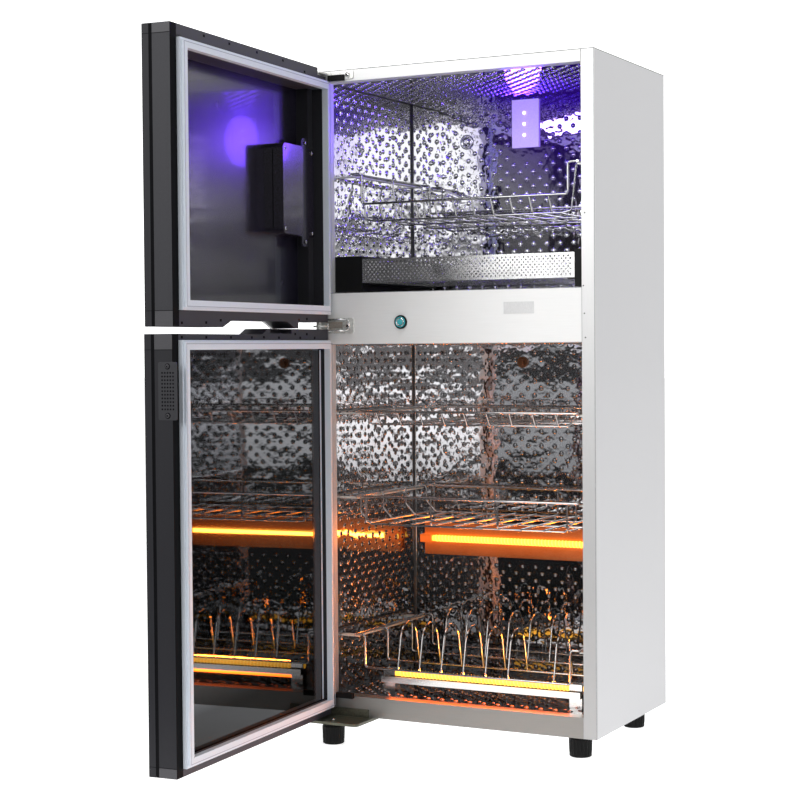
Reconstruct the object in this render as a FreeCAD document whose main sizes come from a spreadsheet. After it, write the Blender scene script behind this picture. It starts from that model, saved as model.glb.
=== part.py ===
import FreeCAD, Part
import math
import os
import re

# Two-door dish sterilizer cabinet, in millimetres.
# +X is the right side seen from the front, +Y the back, +Z up.
# The origin is on the floor under the middle of the cabinet's body.
# Both doors are modelled open, the racks and the tray are pushed in.

doc = FreeCAD.newDocument("sterilizer_cabinet")
sheet = doc.addObject("Spreadsheet::Sheet", "Sizes")

SIZES = {
    # body
    "body_width": 461, "body_depth": 306, "body_height": 1000, "foot_height": 36,
    "outer_gauge": 1.2, "liner_gauge": 0.8, "back_space": 16,
    "stile_width": 20, "frame_depth": 22, "frame_wrap": 4,
    "top_rail_height": 18, "bottom_rail_height": 31,
    "beam_base": 577, "beam_height": 80,
    # door slab, measured from the hinge axis
    "hinge_inset": 14.2, "hinge_forward": 19.8,
    "door_front": 33, "door_back": 9.4, "door_heel": 12, "door_side": 2.2,
    "glass_gauge": 4, "groove_start": 20, "groove_width": 5, "groove_cut": 2.5,
    "hinge_stile": 13.2, "free_stile": 30,
    "upper_door_low": 601.5, "upper_door_over": 0.5, "upper_open": 86.5,
    "lower_door_low": 2, "lower_door_high": 592, "lower_open": 86.7,
    "thin_cap": 13.6, "thick_cap": 21, "upper_head": 31, "upper_sill": 35,
    "lower_head": 21.4, "lower_sill": 24,
    "pull_start": 98, "pull_end": 316, "pull_slope": 26, "pull_depth": 10, "heel_notch_end": 88,
    "shoulder_end": 201, "shoulder_slope": 18, "shoulder_height": 8.5,
    "pocket_start": 110, "pocket_end": 176, "pocket_depth": 17, "pocket_wall": 1.5,
    "lower_recess": 5.4, "inner_gauge": 1.2, "inner_glass": 3.2,
    "ledge_width": 15.8, "ledge_rise": 19.8,
    # door seals
    "seal_heel": 10.3, "seal_edge": 16, "seal_width": 13,
    "seal_rise": 9.8, "seal_base": 6, "seal_lip": 3, "seal_heel_lip": 8,
    # hinges
    "pin_radius": 4, "pin_clearance": 0.05, "pin_depth": 14, "bore_extra": 1,
    "plate_gauge": 2.5, "plate_radius": 9, "plate_side_gap": 3,
    "top_notch": 10.5, "notch_reach": 16, "notch_front": 18, "top_plate_lift": 4,
    "top_flange_width": 54, "top_flange_drop": 15, "top_flange_height": 13,
    "middle_flange_width": 60, "middle_flange_low": 594, "middle_flange_high": 618,
    "middle_plate_base": 604, "bottom_flange_width": 80, "bottom_flange_high": 12,
    "bottom_gauge": 4, "bottom_plate_reach": 56, "bottom_corner": 8,
    "hinge_screw_radius": 4, "hinge_screw_rise": 1.8,
    "cover_inset": 5, "cover_drop": 17, "cover_height": 9, "cover_width": 29, "cover_rise": 6,
    "stop_inset": 11, "stop_low": 27.8, "stop_high": 36, "stop_width": 29, "stop_rise": 7,
    # control box on the upper door
    "box_drop": 123.5, "box_height": 134.5, "box_reach": 122, "cover_reach": 65, "cover_depth": 31.8,
    "box_corner": 8, "flange_gauge": 2.5, "flange_gap": 2, "flange_corner": 5,
    "ear_start": 23, "ear_width": 20, "ear_height": 15, "ear_corner": 6,
    "box_screw_radius": 3, "box_screw_rise": 1.5, "flange_screw_side": 11, "flange_screw_step": 6,
    "ear_screw_step": 8,
    # vent plate on the lower door's edge
    "vent_low": 478, "vent_high": 555, "vent_front": 12, "vent_width": 29, "vent_gauge": 0.8,
    "vent_screw_radius": 2.6,
    # button and label on the beam
    "button_from_left": 146.7, "button_level": 610.5, "bezel_radius": 10.5, "bezel_bore": 8.3,
    "bezel_rise": 2.2, "button_radius": 8, "button_rise": 4, "button_length": 16,
    "label_from_right": 119.2, "label_level": 629, "label_width": 48.6, "label_height": 17.6,
    "label_gauge": 0.3,
    # lamp, sensor, heaters
    "lamp_from_left": 230.3, "lamp_width": 46, "lamp_drop": 24, "lamp_height": 78, "lamp_depth": 5,
    "lamp_lens_radius": 4.5, "lamp_lens_rise": 3, "lamp_lens_pitch": 18, "lamp_top_lens": 22.5,
    "sensor_from_left": 222.4, "sensor_level": 546, "sensor_radius": 5, "sensor_length": 9,
    "sensor_nut": 9, "sensor_nut_depth": 4,
    "heater_radius": 5, "holder_width": 20, "holder_depth": 18, "holder_above": 6.5,
    "front_heater_back": 58, "front_heater_level": 62, "front_heater_left": 86,
    "front_heater_right": 42, "reflector_gauge": 1.5, "reflector_depth": 34, "reflector_drop": 12,
    "reflector_lip": 8, "rear_heater_gap": 18, "rear_heater_level": 251, "rear_heater_side": 44,
    "rear_reflector_height": 56,
    # racks
    "rack_front": 28, "rack_rear_gap": 24, "rack_left_gap": 49, "rack_right_gap": 36,
    "rail_wire": 2, "cross_wire": 1.8, "mesh_wire": 1.5, "wire_bend": 5, "rod_end": 3, "wire_hook": 8,
    "ring_join": 12, "weld_step": 1.2,
    "cup_level": 472.5, "cup_drop": 21, "cup_slope": 14.7, "cup_wires": 9,
    "bowl_level": 340, "bowl_drop": 43, "bowl_bays": 3,
    "bowl_corner": 18, "bowl_wires_inset": 20, "wires_per_bay": 3, "plate_level": 123, "plate_drop": 51,
    "plate_last": 42.6, "plate_bays": 7, "plate_skipped": 6, "loop_depth": 76, "loop_height": 71,
    "loop_foot": 10.6,
    "plate_first": 73, "raised_end": 16, "basket_level": 842, "basket_dip": 47,
    "basket_drop": 73, "basket_slope": 14.1, "basket_wires": 10,
    "rail_gap": 0.3, "rail_gauge": 2, "rail_width": 5, "rail_tuck": 2.5, "rail_arm": 14, "rail_end_gap": 4,
    # perforated tray and its guides
    "tray_left": 67.5, "tray_right": 40.6, "tray_low": 672.5, "tray_high": 709.5,
    "tray_front": 24, "tray_rear_gap": 28, "tray_gauge": 1, "tray_hem": 4, "guide_clearance": 0.5,
    "guide_low": 659, "guide_high": 714,
    # feet
    "foot_radius": 17.5, "foot_cap": 29, "stud_radius": 4, "stud_rise": 14,
    "hinge_stud_rise": 1.2, "foot_side": 43,
    "foot_front": 45, "foot_rear": 31, "hinge_foot_side": 42.5, "hinge_foot_forward": 35,
    # cord gland on the back
    "gland_from_right": 70, "gland_level": 120, "gland_radius": 11, "gland_bore": 4.5,
    "gland_length": 16,
}
for row, (word, value) in enumerate(SIZES.items(), start=1):
    sheet.set("A%d" % row, word)
    sheet.set("B%d" % row, str(value))
    sheet.setAlias("B%d" % row, word)
doc.recompute()

TURNS = {
    "X": FreeCAD.Rotation(FreeCAD.Vector(0, 1, 0), 90),
    "Y": FreeCAD.Rotation(FreeCAD.Vector(1, 0, 0), -90),
    "Z": FreeCAD.Rotation(),
}
subParts = []


def bound(text):
    """A size formula with each sheet word spelled out for the expression engine."""
    return re.sub(r"[a-z][a-z_]+", lambda found: "Sizes." + found.group(0), text)


def number(word):
    return float(getattr(sheet, word))


# Recurring places as formulas
LEFT, RIGHT = "(-body_width / 2)", "(body_width / 2)"
FRONT, BACK = "(-body_depth / 2)", "(body_depth / 2)"
BASE, TOP = "foot_height", "(foot_height + body_height)"
INNER_LEFT, INNER_RIGHT = f"({LEFT} + stile_width)", f"({RIGHT} - stile_width)"
INNER_BACK = f"({BACK} - back_space)"
FRAME_BACK = f"({FRONT} + frame_depth)"
HINGE_X, HINGE_Y = f"({LEFT} + hinge_inset)", f"({FRONT} - hinge_forward)"
DOOR_REACH = "(body_width - hinge_inset + door_side)"
UPPER_DOOR_HIGH = "(body_height + upper_door_over)"
UPPER_FACE = "(-door_front + glass_gauge + inner_gauge)"
LEDGE_TOP = f"({UPPER_FACE} + ledge_rise)"
LEDGE_EDGE = "(-door_heel + hinge_stile + ledge_width)"
TOP_FLANGE_LOW = "(body_height - top_flange_drop)"


def level(word):
    """A height above the body's base, as a height above the floor."""
    return f"(foot_height + {word})"


def put(thing, x, y, z):
    for letter, text in zip("xyz", (x, y, z)):
        thing.setExpression("Placement.Base." + letter, bound(text))


def box(name, x0, x1, y0, y1, z0, z1):
    thing = doc.addObject("Part::Box", name)
    for field, low, high in (("Length", x0, x1), ("Width", y0, y1), ("Height", z0, z1)):
        thing.setExpression(field, bound(f"({high}) - ({low})"))
    put(thing, x0, y0, z0)
    return thing


def rod(name, axis, radius, length, x, y, z):
    """A cylinder that starts at x, y, z and runs along +axis."""
    thing = doc.addObject("Part::Cylinder", name)
    thing.Placement = FreeCAD.Placement(FreeCAD.Vector(), TURNS[axis])
    thing.setExpression("Radius", bound(radius))
    thing.setExpression("Height", bound(length))
    put(thing, x, y, z)
    return thing


def ramp(name, bottom, top, y0, y1, z0, z1):
    """A block whose bottom and top faces span different lengths along X."""
    thing = doc.addObject("Part::Wedge", name)
    thing.Placement = FreeCAD.Placement(FreeCAD.Vector(), FreeCAD.Rotation(FreeCAD.Vector(1, 0, 0), 90))
    thing.Xmin, thing.Ymin, thing.Zmin, thing.Z2min = 0, 0, 0, 0
    for field, low, high in (
        ("Xmax", bottom[0], bottom[1]), ("X2min", bottom[0], top[0]), ("X2max", bottom[0], top[1]),
        ("Ymax", z0, z1), ("Zmax", y0, y1), ("Z2max", y0, y1),
    ):
        thing.setExpression(field, bound(f"({high}) - ({low})"))
    put(thing, bottom[0], y1, z0)
    return thing


def fuse(name, things):
    joined = doc.addObject("Part::MultiFuse", name)
    joined.Shapes = things
    joined.Refine = True
    return joined


def cut(name, base, tools):
    made = doc.addObject("Part::Cut", name)
    made.Base = base
    made.Tool = tools[0] if len(tools) == 1 else fuse(name + "_tools", tools)
    made.Refine = True
    return made


def together(name, things):
    """Separate solids that are one sub-part, such as a left and a right rail."""
    made = doc.addObject("Part::Compound", name)
    made.Links = things
    return made


def solid(name, shape):
    """A bent-wire sub-part, whose many runs neither a sketch nor a primitive fits."""
    made = doc.addObject("Part::Feature", name)
    made.Shape = shape
    return made


def keep(thing, label):
    thing.Label = label
    subParts.append(thing)
    return thing


def rounded(name, axis, x0, x1, y0, y1, z0, z1, radius):
    """A block with its four edges along axis rounded."""
    spans = {"X": (x0, x1), "Y": (y0, y1), "Z": (z0, z1)}
    first, second = [letter for letter in "XYZ" if letter != axis]
    parts = []
    for n, inset in enumerate((first, second)):
        ends = dict(spans)
        ends[inset] = (f"{spans[inset][0]} + {radius}", f"{spans[inset][1]} - {radius}")
        flat = [value for letter in "XYZ" for value in ends[letter]]
        parts.append(box(f"{name}_slab{n}", *flat))
    for n in range(4):
        start = {axis: spans[axis][0]}
        for inset, high in ((first, n % 2), (second, n // 2)):
            edge, sign = spans[inset][high], "-" if high else "+"
            start[inset] = f"{edge} {sign} {radius}"
        length = f"({spans[axis][1]}) - ({spans[axis][0]})"
        parts.append(rod(f"{name}_corner{n}", axis, radius, length, start["X"], start["Y"], start["Z"]))
    return fuse(name, parts)


def channel(name, x0, x1, y0, y1, z0, z1, open_z=False):
    """A folded sheet channel, open at the back, with side walls left and right or above and below."""
    gauge = "outer_gauge"
    outer = box(name + "_outer", x0, x1, y0, y1, z0, z1)
    inner_x = (x0, x1) if open_z else (f"{x0} + {gauge}", f"{x1} - {gauge}")
    inner_z = (f"{z0} + {gauge}", f"{z1} - {gauge}") if open_z else (z0, z1)
    inner = box(name + "_inner", *inner_x, f"{y0} + {gauge}", y1, *inner_z)
    return cut(name, outer, [inner])


# ---- body ----

def body_feet():
    """The three feet that stand under the body itself; the fourth is under the bottom hinge."""
    return (
        ("foot_front_right", f"{RIGHT} - foot_side", f"{FRONT} + foot_front"),
        ("foot_rear_left", f"{LEFT} + foot_side", f"{BACK} - foot_rear"),
        ("foot_rear_right", f"{RIGHT} - foot_side", f"{BACK} - foot_rear"),
    )


def outer_panels():
    side_top = f"{TOP} - outer_gauge"
    start = f"{FRONT} + frame_wrap"
    rear = f"{BACK} - outer_gauge"
    keep(box("SidePanelLeft", LEFT, f"{LEFT} + outer_gauge", start, rear, BASE, side_top), "side_panel_left")
    keep(box("SidePanelRight", f"{RIGHT} - outer_gauge", RIGHT, start, rear, BASE, side_top),
         "side_panel_right")
    keep(box("TopPanel", LEFT, RIGHT, start, rear, side_top, TOP), "top_panel")
    keep(box("BackPanel", LEFT, RIGHT, rear, BACK, BASE, TOP), "back_panel")
    base = box("BaseSheet", f"{LEFT} + outer_gauge", f"{RIGHT} - outer_gauge", FRAME_BACK, rear,
               BASE, f"{BASE} + outer_gauge")
    holes = [
        rod(f"StudHole{n}", "Z", "stud_radius + pin_clearance", "outer_gauge", x, y, BASE)
        for n, (label, x, y) in enumerate(body_feet())
    ]
    keep(cut("BasePanel", base, holes), "base_panel")


def front_frame():
    low, high = BASE, TOP
    inside_low, inside_high = f"{BASE} + bottom_rail_height", f"{TOP} - top_rail_height"
    for label, outside, inside, skin in (
        ("front_stile_left", LEFT, INNER_LEFT, f"{LEFT} + outer_gauge"),
        ("front_stile_right", RIGHT, INNER_RIGHT, f"{RIGHT} - outer_gauge"),
    ):
        left = label.endswith("left")
        name = "StileLeft" if left else "StileRight"
        span = (skin, inside) if left else (inside, skin)
        post = channel(name + "Post", *span, FRONT, FRAME_BACK, low, f"{high} - outer_gauge")
        edge = (outside, skin) if left else (skin, outside)
        wrap = box(name + "Wrap", *edge, FRONT, f"{FRONT} + frame_wrap", low, f"{high} - outer_gauge")
        keep(fuse(name, [post, wrap]), label)
    rail = channel("TopRailBar", INNER_LEFT, INNER_RIGHT, FRONT, FRAME_BACK, inside_high,
                   f"{TOP} - outer_gauge", open_z=True)
    lid = box("TopRailWrap", LEFT, RIGHT, FRONT, f"{FRONT} + frame_wrap", f"{TOP} - outer_gauge", TOP)
    keep(fuse("TopRail", [rail, lid]), "top_rail")
    keep(channel("BottomRail", INNER_LEFT, INNER_RIGHT, FRONT, FRAME_BACK, BASE, inside_low, open_z=True),
         "bottom_rail")
    beam = channel("BeamBar", INNER_LEFT, INNER_RIGHT, FRONT, FRAME_BACK, level("beam_base"),
                   level("beam_base + beam_height"), open_z=True)
    hole = rod("ButtonHole", "Y", "bezel_bore", "frame_depth", f"{LEFT} + button_from_left", FRONT,
               level("button_level"))
    keep(cut("ControlBeam", beam, [hole]), "control_beam")


def liners():
    low, high = f"{BASE} + bottom_rail_height", f"{TOP} - top_rail_height"
    gauge = "liner_gauge"
    keep(box("LinerLeft", f"{INNER_LEFT} - {gauge}", INNER_LEFT, FRAME_BACK, INNER_BACK, low, high),
         "liner_left")
    keep(box("LinerRight", INNER_RIGHT, f"{INNER_RIGHT} + {gauge}", FRAME_BACK, INNER_BACK, low, high),
         "liner_right")
    keep(box("LinerBack", f"{INNER_LEFT} - {gauge}", f"{INNER_RIGHT} + {gauge}", INNER_BACK,
             f"{INNER_BACK} + {gauge}", f"{low} - {gauge}", f"{high} + {gauge}"), "liner_back")
    for label, name, bottom in (
        ("liner_ceiling", "LinerCeiling", high),
        ("upper_floor", "UpperFloor", f"{level('beam_base + beam_height')} - {gauge}"),
        ("lower_ceiling", "LowerCeiling", level("beam_base")),
        ("liner_floor", "LinerFloor", f"{low} - {gauge}"),
    ):
        outside = label in ("liner_ceiling", "liner_floor")
        reach = gauge if outside else "0"
        keep(box(name, f"{INNER_LEFT} - {reach}", f"{INNER_RIGHT} + {reach}", FRAME_BACK, INNER_BACK,
                 bottom, f"{bottom} + {gauge}"), label)


def beam_fittings():
    x, z = f"{LEFT} + button_from_left", level("button_level")
    ring = rod("BezelDisc", "Y", "bezel_radius", "bezel_rise", x, f"{FRONT} - bezel_rise", z)
    eye = rod("BezelEye", "Y", "bezel_bore", "bezel_rise", x, f"{FRONT} - bezel_rise", z)
    keep(cut("Bezel", ring, [eye]), "button_bezel")
    keep(rod("Button", "Y", "button_radius", "button_length", x, f"{FRONT} - button_rise", z), "power_button")
    middle, height = f"{RIGHT} - label_from_right", level("label_level")
    keep(box("LabelPlate", f"{middle} - label_width / 2", f"{middle} + label_width / 2",
             f"{FRONT} - label_gauge", FRONT, f"{height} - label_height / 2", f"{height} + label_height / 2"),
         "label_plate")


def lamp_and_sensor():
    x = f"{LEFT} + lamp_from_left"
    face, lamp_top = f"{INNER_BACK} - lamp_depth", f"({TOP} - lamp_drop)"
    body = box("LampBody", f"{x} - lamp_width / 2", f"{x} + lamp_width / 2", face, INNER_BACK,
               f"{lamp_top} - lamp_height", lamp_top)
    lenses = [
        rod(f"LampLens{n}", "Y", "lamp_lens_radius", "lamp_lens_rise + lamp_depth / 2", x,
            f"{face} - lamp_lens_rise", f"{lamp_top} - lamp_top_lens - {n} * lamp_lens_pitch")
        for n in range(3)
    ]
    keep(fuse("LampModule", [body] + lenses), "uv_lamp_module")
    x, z = f"{LEFT} + sensor_from_left", level("sensor_level")
    probe = rod("SensorProbe", "Y", "sensor_radius", "sensor_length", x, f"{INNER_BACK} - sensor_length", z)
    nut = rod("SensorNut", "Y", "sensor_nut", "sensor_nut_depth", x, f"{INNER_BACK} - sensor_nut_depth", z)
    keep(fuse("Sensor", [probe, nut]), "temperature_sensor")


def heater(label, name, x0, x1, y, z, holder_low, holder_high, plates):
    """A quartz tube between two holders that stand on, or hang from, a reflector."""
    clear = "heater_radius"
    tube = rod(name + "Tube", "X", clear, f"({x1}) - ({x0})", x0, y, z)
    keep(tube, label + "_tube")
    holders = [
        box(f"{name}Holder{n}", start, f"{start} + holder_width", f"{y} - holder_depth / 2",
            f"{y} + holder_depth / 2", holder_low, holder_high)
        for n, start in enumerate((x0, f"{x1} - holder_width"))
    ]
    sockets = [
        rod(f"{name}Socket{n}", "X", clear, "holder_width", start, y, z)
        for n, start in enumerate((x0, f"{x1} - holder_width"))
    ]
    frame = fuse(name + "Frame", holders + plates)
    keep(cut(name + "Reflector", frame, sockets), label + "_reflector")


def heaters():
    low = f"({BASE} + bottom_rail_height)"
    y, z = f"({FRONT} + front_heater_back)", level("front_heater_level")
    x0, x1 = f"({LEFT} + front_heater_left)", f"({RIGHT} - front_heater_right)"
    pan = f"({z} - reflector_drop)"
    front = f"({y} - reflector_depth / 2)"
    plates = [
        box("FrontPan", x0, x1, front, f"{y} + reflector_depth / 2", f"{pan} - reflector_gauge", pan),
        box("FrontLip", x0, x1, front, f"{front} + reflector_gauge", f"{pan} - reflector_gauge",
            f"{pan} + reflector_lip"),
    ]
    heater("front_heater", "FrontHeater", x0, x1, y, z, low, f"{z} + holder_above", plates)
    y, z = f"({INNER_BACK} - rear_heater_gap)", level("rear_heater_level")
    x0, x1 = f"({LEFT} + rear_heater_side)", f"({RIGHT} - rear_heater_side)"
    plate_back = f"({INNER_BACK} - rear_heater_gap + holder_depth / 2)"
    plates = [
        box("RearPlate", x0, x1, plate_back, INNER_BACK, f"{z} - rear_reflector_height / 2",
            f"{z} + rear_reflector_height / 2"),
    ]
    heater("rear_heater", "RearHeater", x0, x1, y, z, f"{z} - holder_above", f"{z} + holder_above", plates)


def cord_gland():
    x, z = f"{RIGHT} - gland_from_right", level("gland_level")
    body = rod("GlandBody", "Y", "gland_radius", "gland_length", x, BACK, z)
    bore = rod("GlandBore", "Y", "gland_bore", "gland_length", x, BACK, z)
    keep(cut("CordGland", body, [bore]), "cord_gland")


# ---- hinges ----

def screw_head(name, x, z):
    return rod(name, "Y", "hinge_screw_radius", "hinge_screw_rise + plate_gauge / 2", x,
               f"{FRONT} - plate_gauge - hinge_screw_rise", z)


def hinge_arm(name, z0, gauge):
    """A flat arm from the body's front to the hinge axis, round about the pin."""
    plate = box(name + "Arm", f"{HINGE_X} - plate_radius", f"{HINGE_X} + plate_radius", HINGE_Y, FRONT,
                z0, f"{z0} + {gauge}")
    return [plate, rod(name + "Nose", "Z", "plate_radius", gauge, HINGE_X, HINGE_Y, z0)]


def hinges():
    start = f"({HINGE_X} - plate_radius)"
    base = level(f"{UPPER_DOOR_HIGH} - top_notch + top_plate_lift")
    flange = rounded("TopFlange", "Y", start, f"{start} + top_flange_width + plate_radius",
                     f"{FRONT} - plate_gauge", FRONT, level(TOP_FLANGE_LOW),
                     level(f"{TOP_FLANGE_LOW} + top_flange_height"), "plate_side_gap")
    pin_low = f"({base} - top_plate_lift - pin_depth)"
    pin = rod("TopPin", "Z", "pin_radius", f"{base} - {pin_low} + plate_gauge / 2", HINGE_X, HINGE_Y, pin_low)
    screw = screw_head("TopScrew", f"{start} + top_flange_width",
                       level(f"{TOP_FLANGE_LOW} + top_flange_height / 2"))
    keep(fuse("HingeTop", hinge_arm("Top", base, "plate_gauge") + [flange, pin, screw]), "hinge_top")

    base = level("middle_plate_base")
    flange = rounded("MiddleFlange", "Y", start, f"{start} + middle_flange_width", f"{FRONT} - plate_gauge",
                     FRONT, level("middle_flange_low"), level("middle_flange_high"), "plate_side_gap")
    pin_low = level("lower_door_high + shoulder_height - pin_depth")
    pin_high = level("upper_door_low + pull_depth + pin_depth")
    pin = rod("MiddlePin", "Z", "pin_radius", f"{pin_high} - {pin_low}", HINGE_X, HINGE_Y, pin_low)
    screw = screw_head("MiddleScrew", f"{start} + middle_flange_width - plate_radius",
                       level("(middle_flange_low + middle_flange_high) / 2"))
    keep(fuse("HingeMiddle", hinge_arm("Middle", base, "plate_gauge") + [flange, pin, screw]), "hinge_middle")

    base = f"({BASE} - bottom_gauge)"
    plate = rounded("BottomPlate", "Z", start, f"{start} + bottom_flange_width + plate_radius",
                    f"{FRONT} - bottom_plate_reach", f"{FRONT} + frame_depth", base, BASE, "bottom_corner")
    flange = box("BottomFlange", start, f"{start} + bottom_flange_width", f"{FRONT} - plate_gauge", FRONT,
                 base, level("bottom_flange_high"))
    pin = rod("BottomPin", "Z", "pin_radius", f"lower_door_low + pin_depth + bottom_gauge / 2", HINGE_X,
              HINGE_Y, f"{BASE} - bottom_gauge / 2")
    x, y = f"{LEFT} + hinge_foot_side", f"{FRONT} - hinge_foot_forward"
    hole = rod("BottomStudHole", "Z", "stud_radius + pin_clearance", "bottom_gauge", x, y, base)
    whole = fuse("BottomBracket", [plate, flange, pin])
    keep(cut("HingeBottom", whole, [hole]), "hinge_bottom")

    cover = f"({INNER_LEFT} + cover_inset)"
    keep(box("TopCover", cover, f"{cover} + cover_width", f"{FRONT} - cover_rise", f"{FRONT} - plate_gauge",
             f"{TOP} - cover_drop", f"{TOP} - cover_drop + cover_height"), "hinge_top_cover")
    stop = f"({INNER_LEFT} + stop_inset)"
    keep(box("DoorStop", stop, f"{stop} + stop_width", f"{FRONT} - stop_rise", FRONT, level("stop_low"),
             level("stop_high")), "door_stop")


# ---- doors, drawn shut about a hinge axis at X = Y = 0 and then swung open ----

def swing(shape, opening):
    thing = together(shape.Name + "Swung", [shape])
    thing.Placement = FreeCAD.Placement(FreeCAD.Vector(), FreeCAD.Rotation(FreeCAD.Vector(0, 0, -1), 45))
    thing.setExpression("Placement.Base.x", bound(HINGE_X))
    thing.setExpression("Placement.Base.y", bound(HINGE_Y))
    thing.setExpression("Placement.Rotation.Angle", bound(opening))
    return thing


def edge_groove(name, low, high):
    return box(name, f"{DOOR_REACH} - groove_cut", DOOR_REACH, "-groove_start - groove_width",
               "-groove_start", low, high)


def pull_shapes(name, face, front, back):
    """The finger pull and the hinge's notch, cut up into the upper door's foot between two depths."""
    roof = f"{face} + pull_depth"
    pull = ramp(name + "Pull", ("pull_start", "pull_end"),
                ("pull_start + pull_slope", "pull_end - pull_slope"), front, back, face, roof)
    return [pull, box(name + "HeelNotch", "-door_heel", "heel_notch_end", front, back, face, roof)]


def end_shapes(where, face, front):
    """What a door's end adds to its plain block and cuts from it, with the hinge pin's bore."""
    bore, depth = "pin_radius + pin_clearance", "pin_depth + bore_extra"
    if where == "upper_top":
        notch = box("TopNotch", "-door_heel", "notch_reach", "-notch_front", "door_back",
                    f"{face} - top_notch", face)
        start = f"{face} - top_notch - pin_depth - bore_extra"
        return [], [notch, rod("UpperTopBore", "Z", bore, f"top_notch + {depth}", "0", "0", start)]
    if where == "upper_bottom":
        tools = pull_shapes("Cap", face, front, "door_back")
        return [], tools + [rod("UpperBottomBore", "Z", bore, f"pull_depth + {depth}", "0", "0", face)]
    if where == "lower_top":
        top = f"{face} + shoulder_height"
        shoulder = ramp("Shoulder", ("-door_heel", "shoulder_end"),
                        ("-door_heel", "shoulder_end - shoulder_slope"), front, "door_back", face, top)
        pocket = box("Pocket", "pocket_start", "pocket_end", "door_back - pocket_depth", "door_back",
                     f"{face} + pocket_wall", f"{top} - pocket_wall")
        start = f"{top} - pin_depth - bore_extra"
        return [shoulder], [pocket, rod("LowerTopBore", "Z", bore, depth, "0", "0", start)]
    return [], [rod("LowerBottomBore", "Z", bore, depth, "0", "0", face)]


def door_slab(side, low, high, opening, caps, rims):
    """Glass front, two stiles and two moulded caps; caps are the end seams, rims the recess's edges."""
    name = side.capitalize()
    foot, head = caps
    sill, lintel = rims
    back_of_glass = "-door_front + glass_gauge"
    slab_low, slab_high = f"({low} + {foot})", f"({high} - {head})"
    rim_low, rim_high = f"({low} + {sill})", f"({high} - {lintel})"
    glass = box(name + "Glass", "-door_heel", DOOR_REACH, "-door_front", back_of_glass, low, high)
    if side == "upper":
        glass = cut("UpperGlassFoot", glass, pull_shapes("Glass", low, "-door_front", back_of_glass))
    keep(swing(glass, opening), side + "_door_glass")
    heel = box(name + "HingeStile", "-door_heel", "-door_heel + hinge_stile", back_of_glass, "door_back",
               rim_low, rim_high)
    if side == "upper":
        ledge = box("UpperLedge", "-door_heel + hinge_stile", LEDGE_EDGE, UPPER_FACE, LEDGE_TOP,
                    rim_low, rim_high)
        heel = fuse("UpperHeel", [heel, ledge])
    keep(swing(heel, opening), side + "_door_hinge_stile")
    bar = box(name + "FreeBar", f"{DOOR_REACH} - free_stile", DOOR_REACH, back_of_glass, "door_back",
              slab_low, slab_high)
    stile = cut(name + "FreeStile", bar, [edge_groove(name + "FreeGroove", slab_low, slab_high)])
    keep(swing(stile, opening), side + "_door_free_stile")
    for end, outside, seam, rim in (("bottom", low, slab_low, rim_low), ("top", high, slab_high, rim_high)):
        bottom = end == "bottom"
        shell_z = (outside, seam) if bottom else (seam, outside)
        inner_z = (seam, rim) if bottom else (rim, seam)
        title = name + end.capitalize()
        blocks = [
            box(title + "Shell", "-door_heel", DOOR_REACH, back_of_glass, "door_back", *shell_z),
            box(title + "Inner", "-door_heel", f"{DOOR_REACH} - free_stile", back_of_glass, "door_back",
                *inner_z),
        ]
        face, tools = end_shapes(side + "_" + end, outside, back_of_glass)
        blocks += face
        tools.append(edge_groove(title + "Groove", *shell_z))
        cap = cut(title + "Cap", fuse(title + "Whole", blocks), tools)
        keep(swing(cap, opening), f"{side}_door_{end}_cap")
    return rim_low, rim_high


def door_panel(side, rims, face, gauge, opening, label):
    panel = box(side.capitalize() + "Inner", "-door_heel + hinge_stile", f"{DOOR_REACH} - free_stile",
                f"{face} - {gauge}", face, *rims)
    keep(swing(panel, opening), label)


def door_seal(side, rims, opening):
    """A soft ring with a raised bead, mitred round the recess."""
    name = side.capitalize() + "Seal"
    inner_x = ("-door_heel + hinge_stile", f"{DOOR_REACH} - seal_edge - seal_width")
    outer_x = ("-seal_heel", f"{DOOR_REACH} - seal_edge")
    outer_z = (f"{rims[0]} - seal_width", f"{rims[1]} + seal_width")
    foot = box(name + "Foot", *outer_x, "door_back", "door_back + seal_base", *outer_z)
    lips = [f"{outer_x[0]} + seal_heel_lip", f"{outer_x[1]} - seal_lip"]
    bead = box(name + "Bead", *lips, "door_back", "door_back + seal_rise", f"{outer_z[0]} + seal_lip",
               f"{outer_z[1]} - seal_lip")
    hole = box(name + "Hole", *inner_x, "door_back", "door_back + seal_rise", *rims)
    ring = cut(name, fuse(name + "Whole", [foot, bead]), [hole])
    keep(swing(ring, opening), side + "_door_seal")


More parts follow.
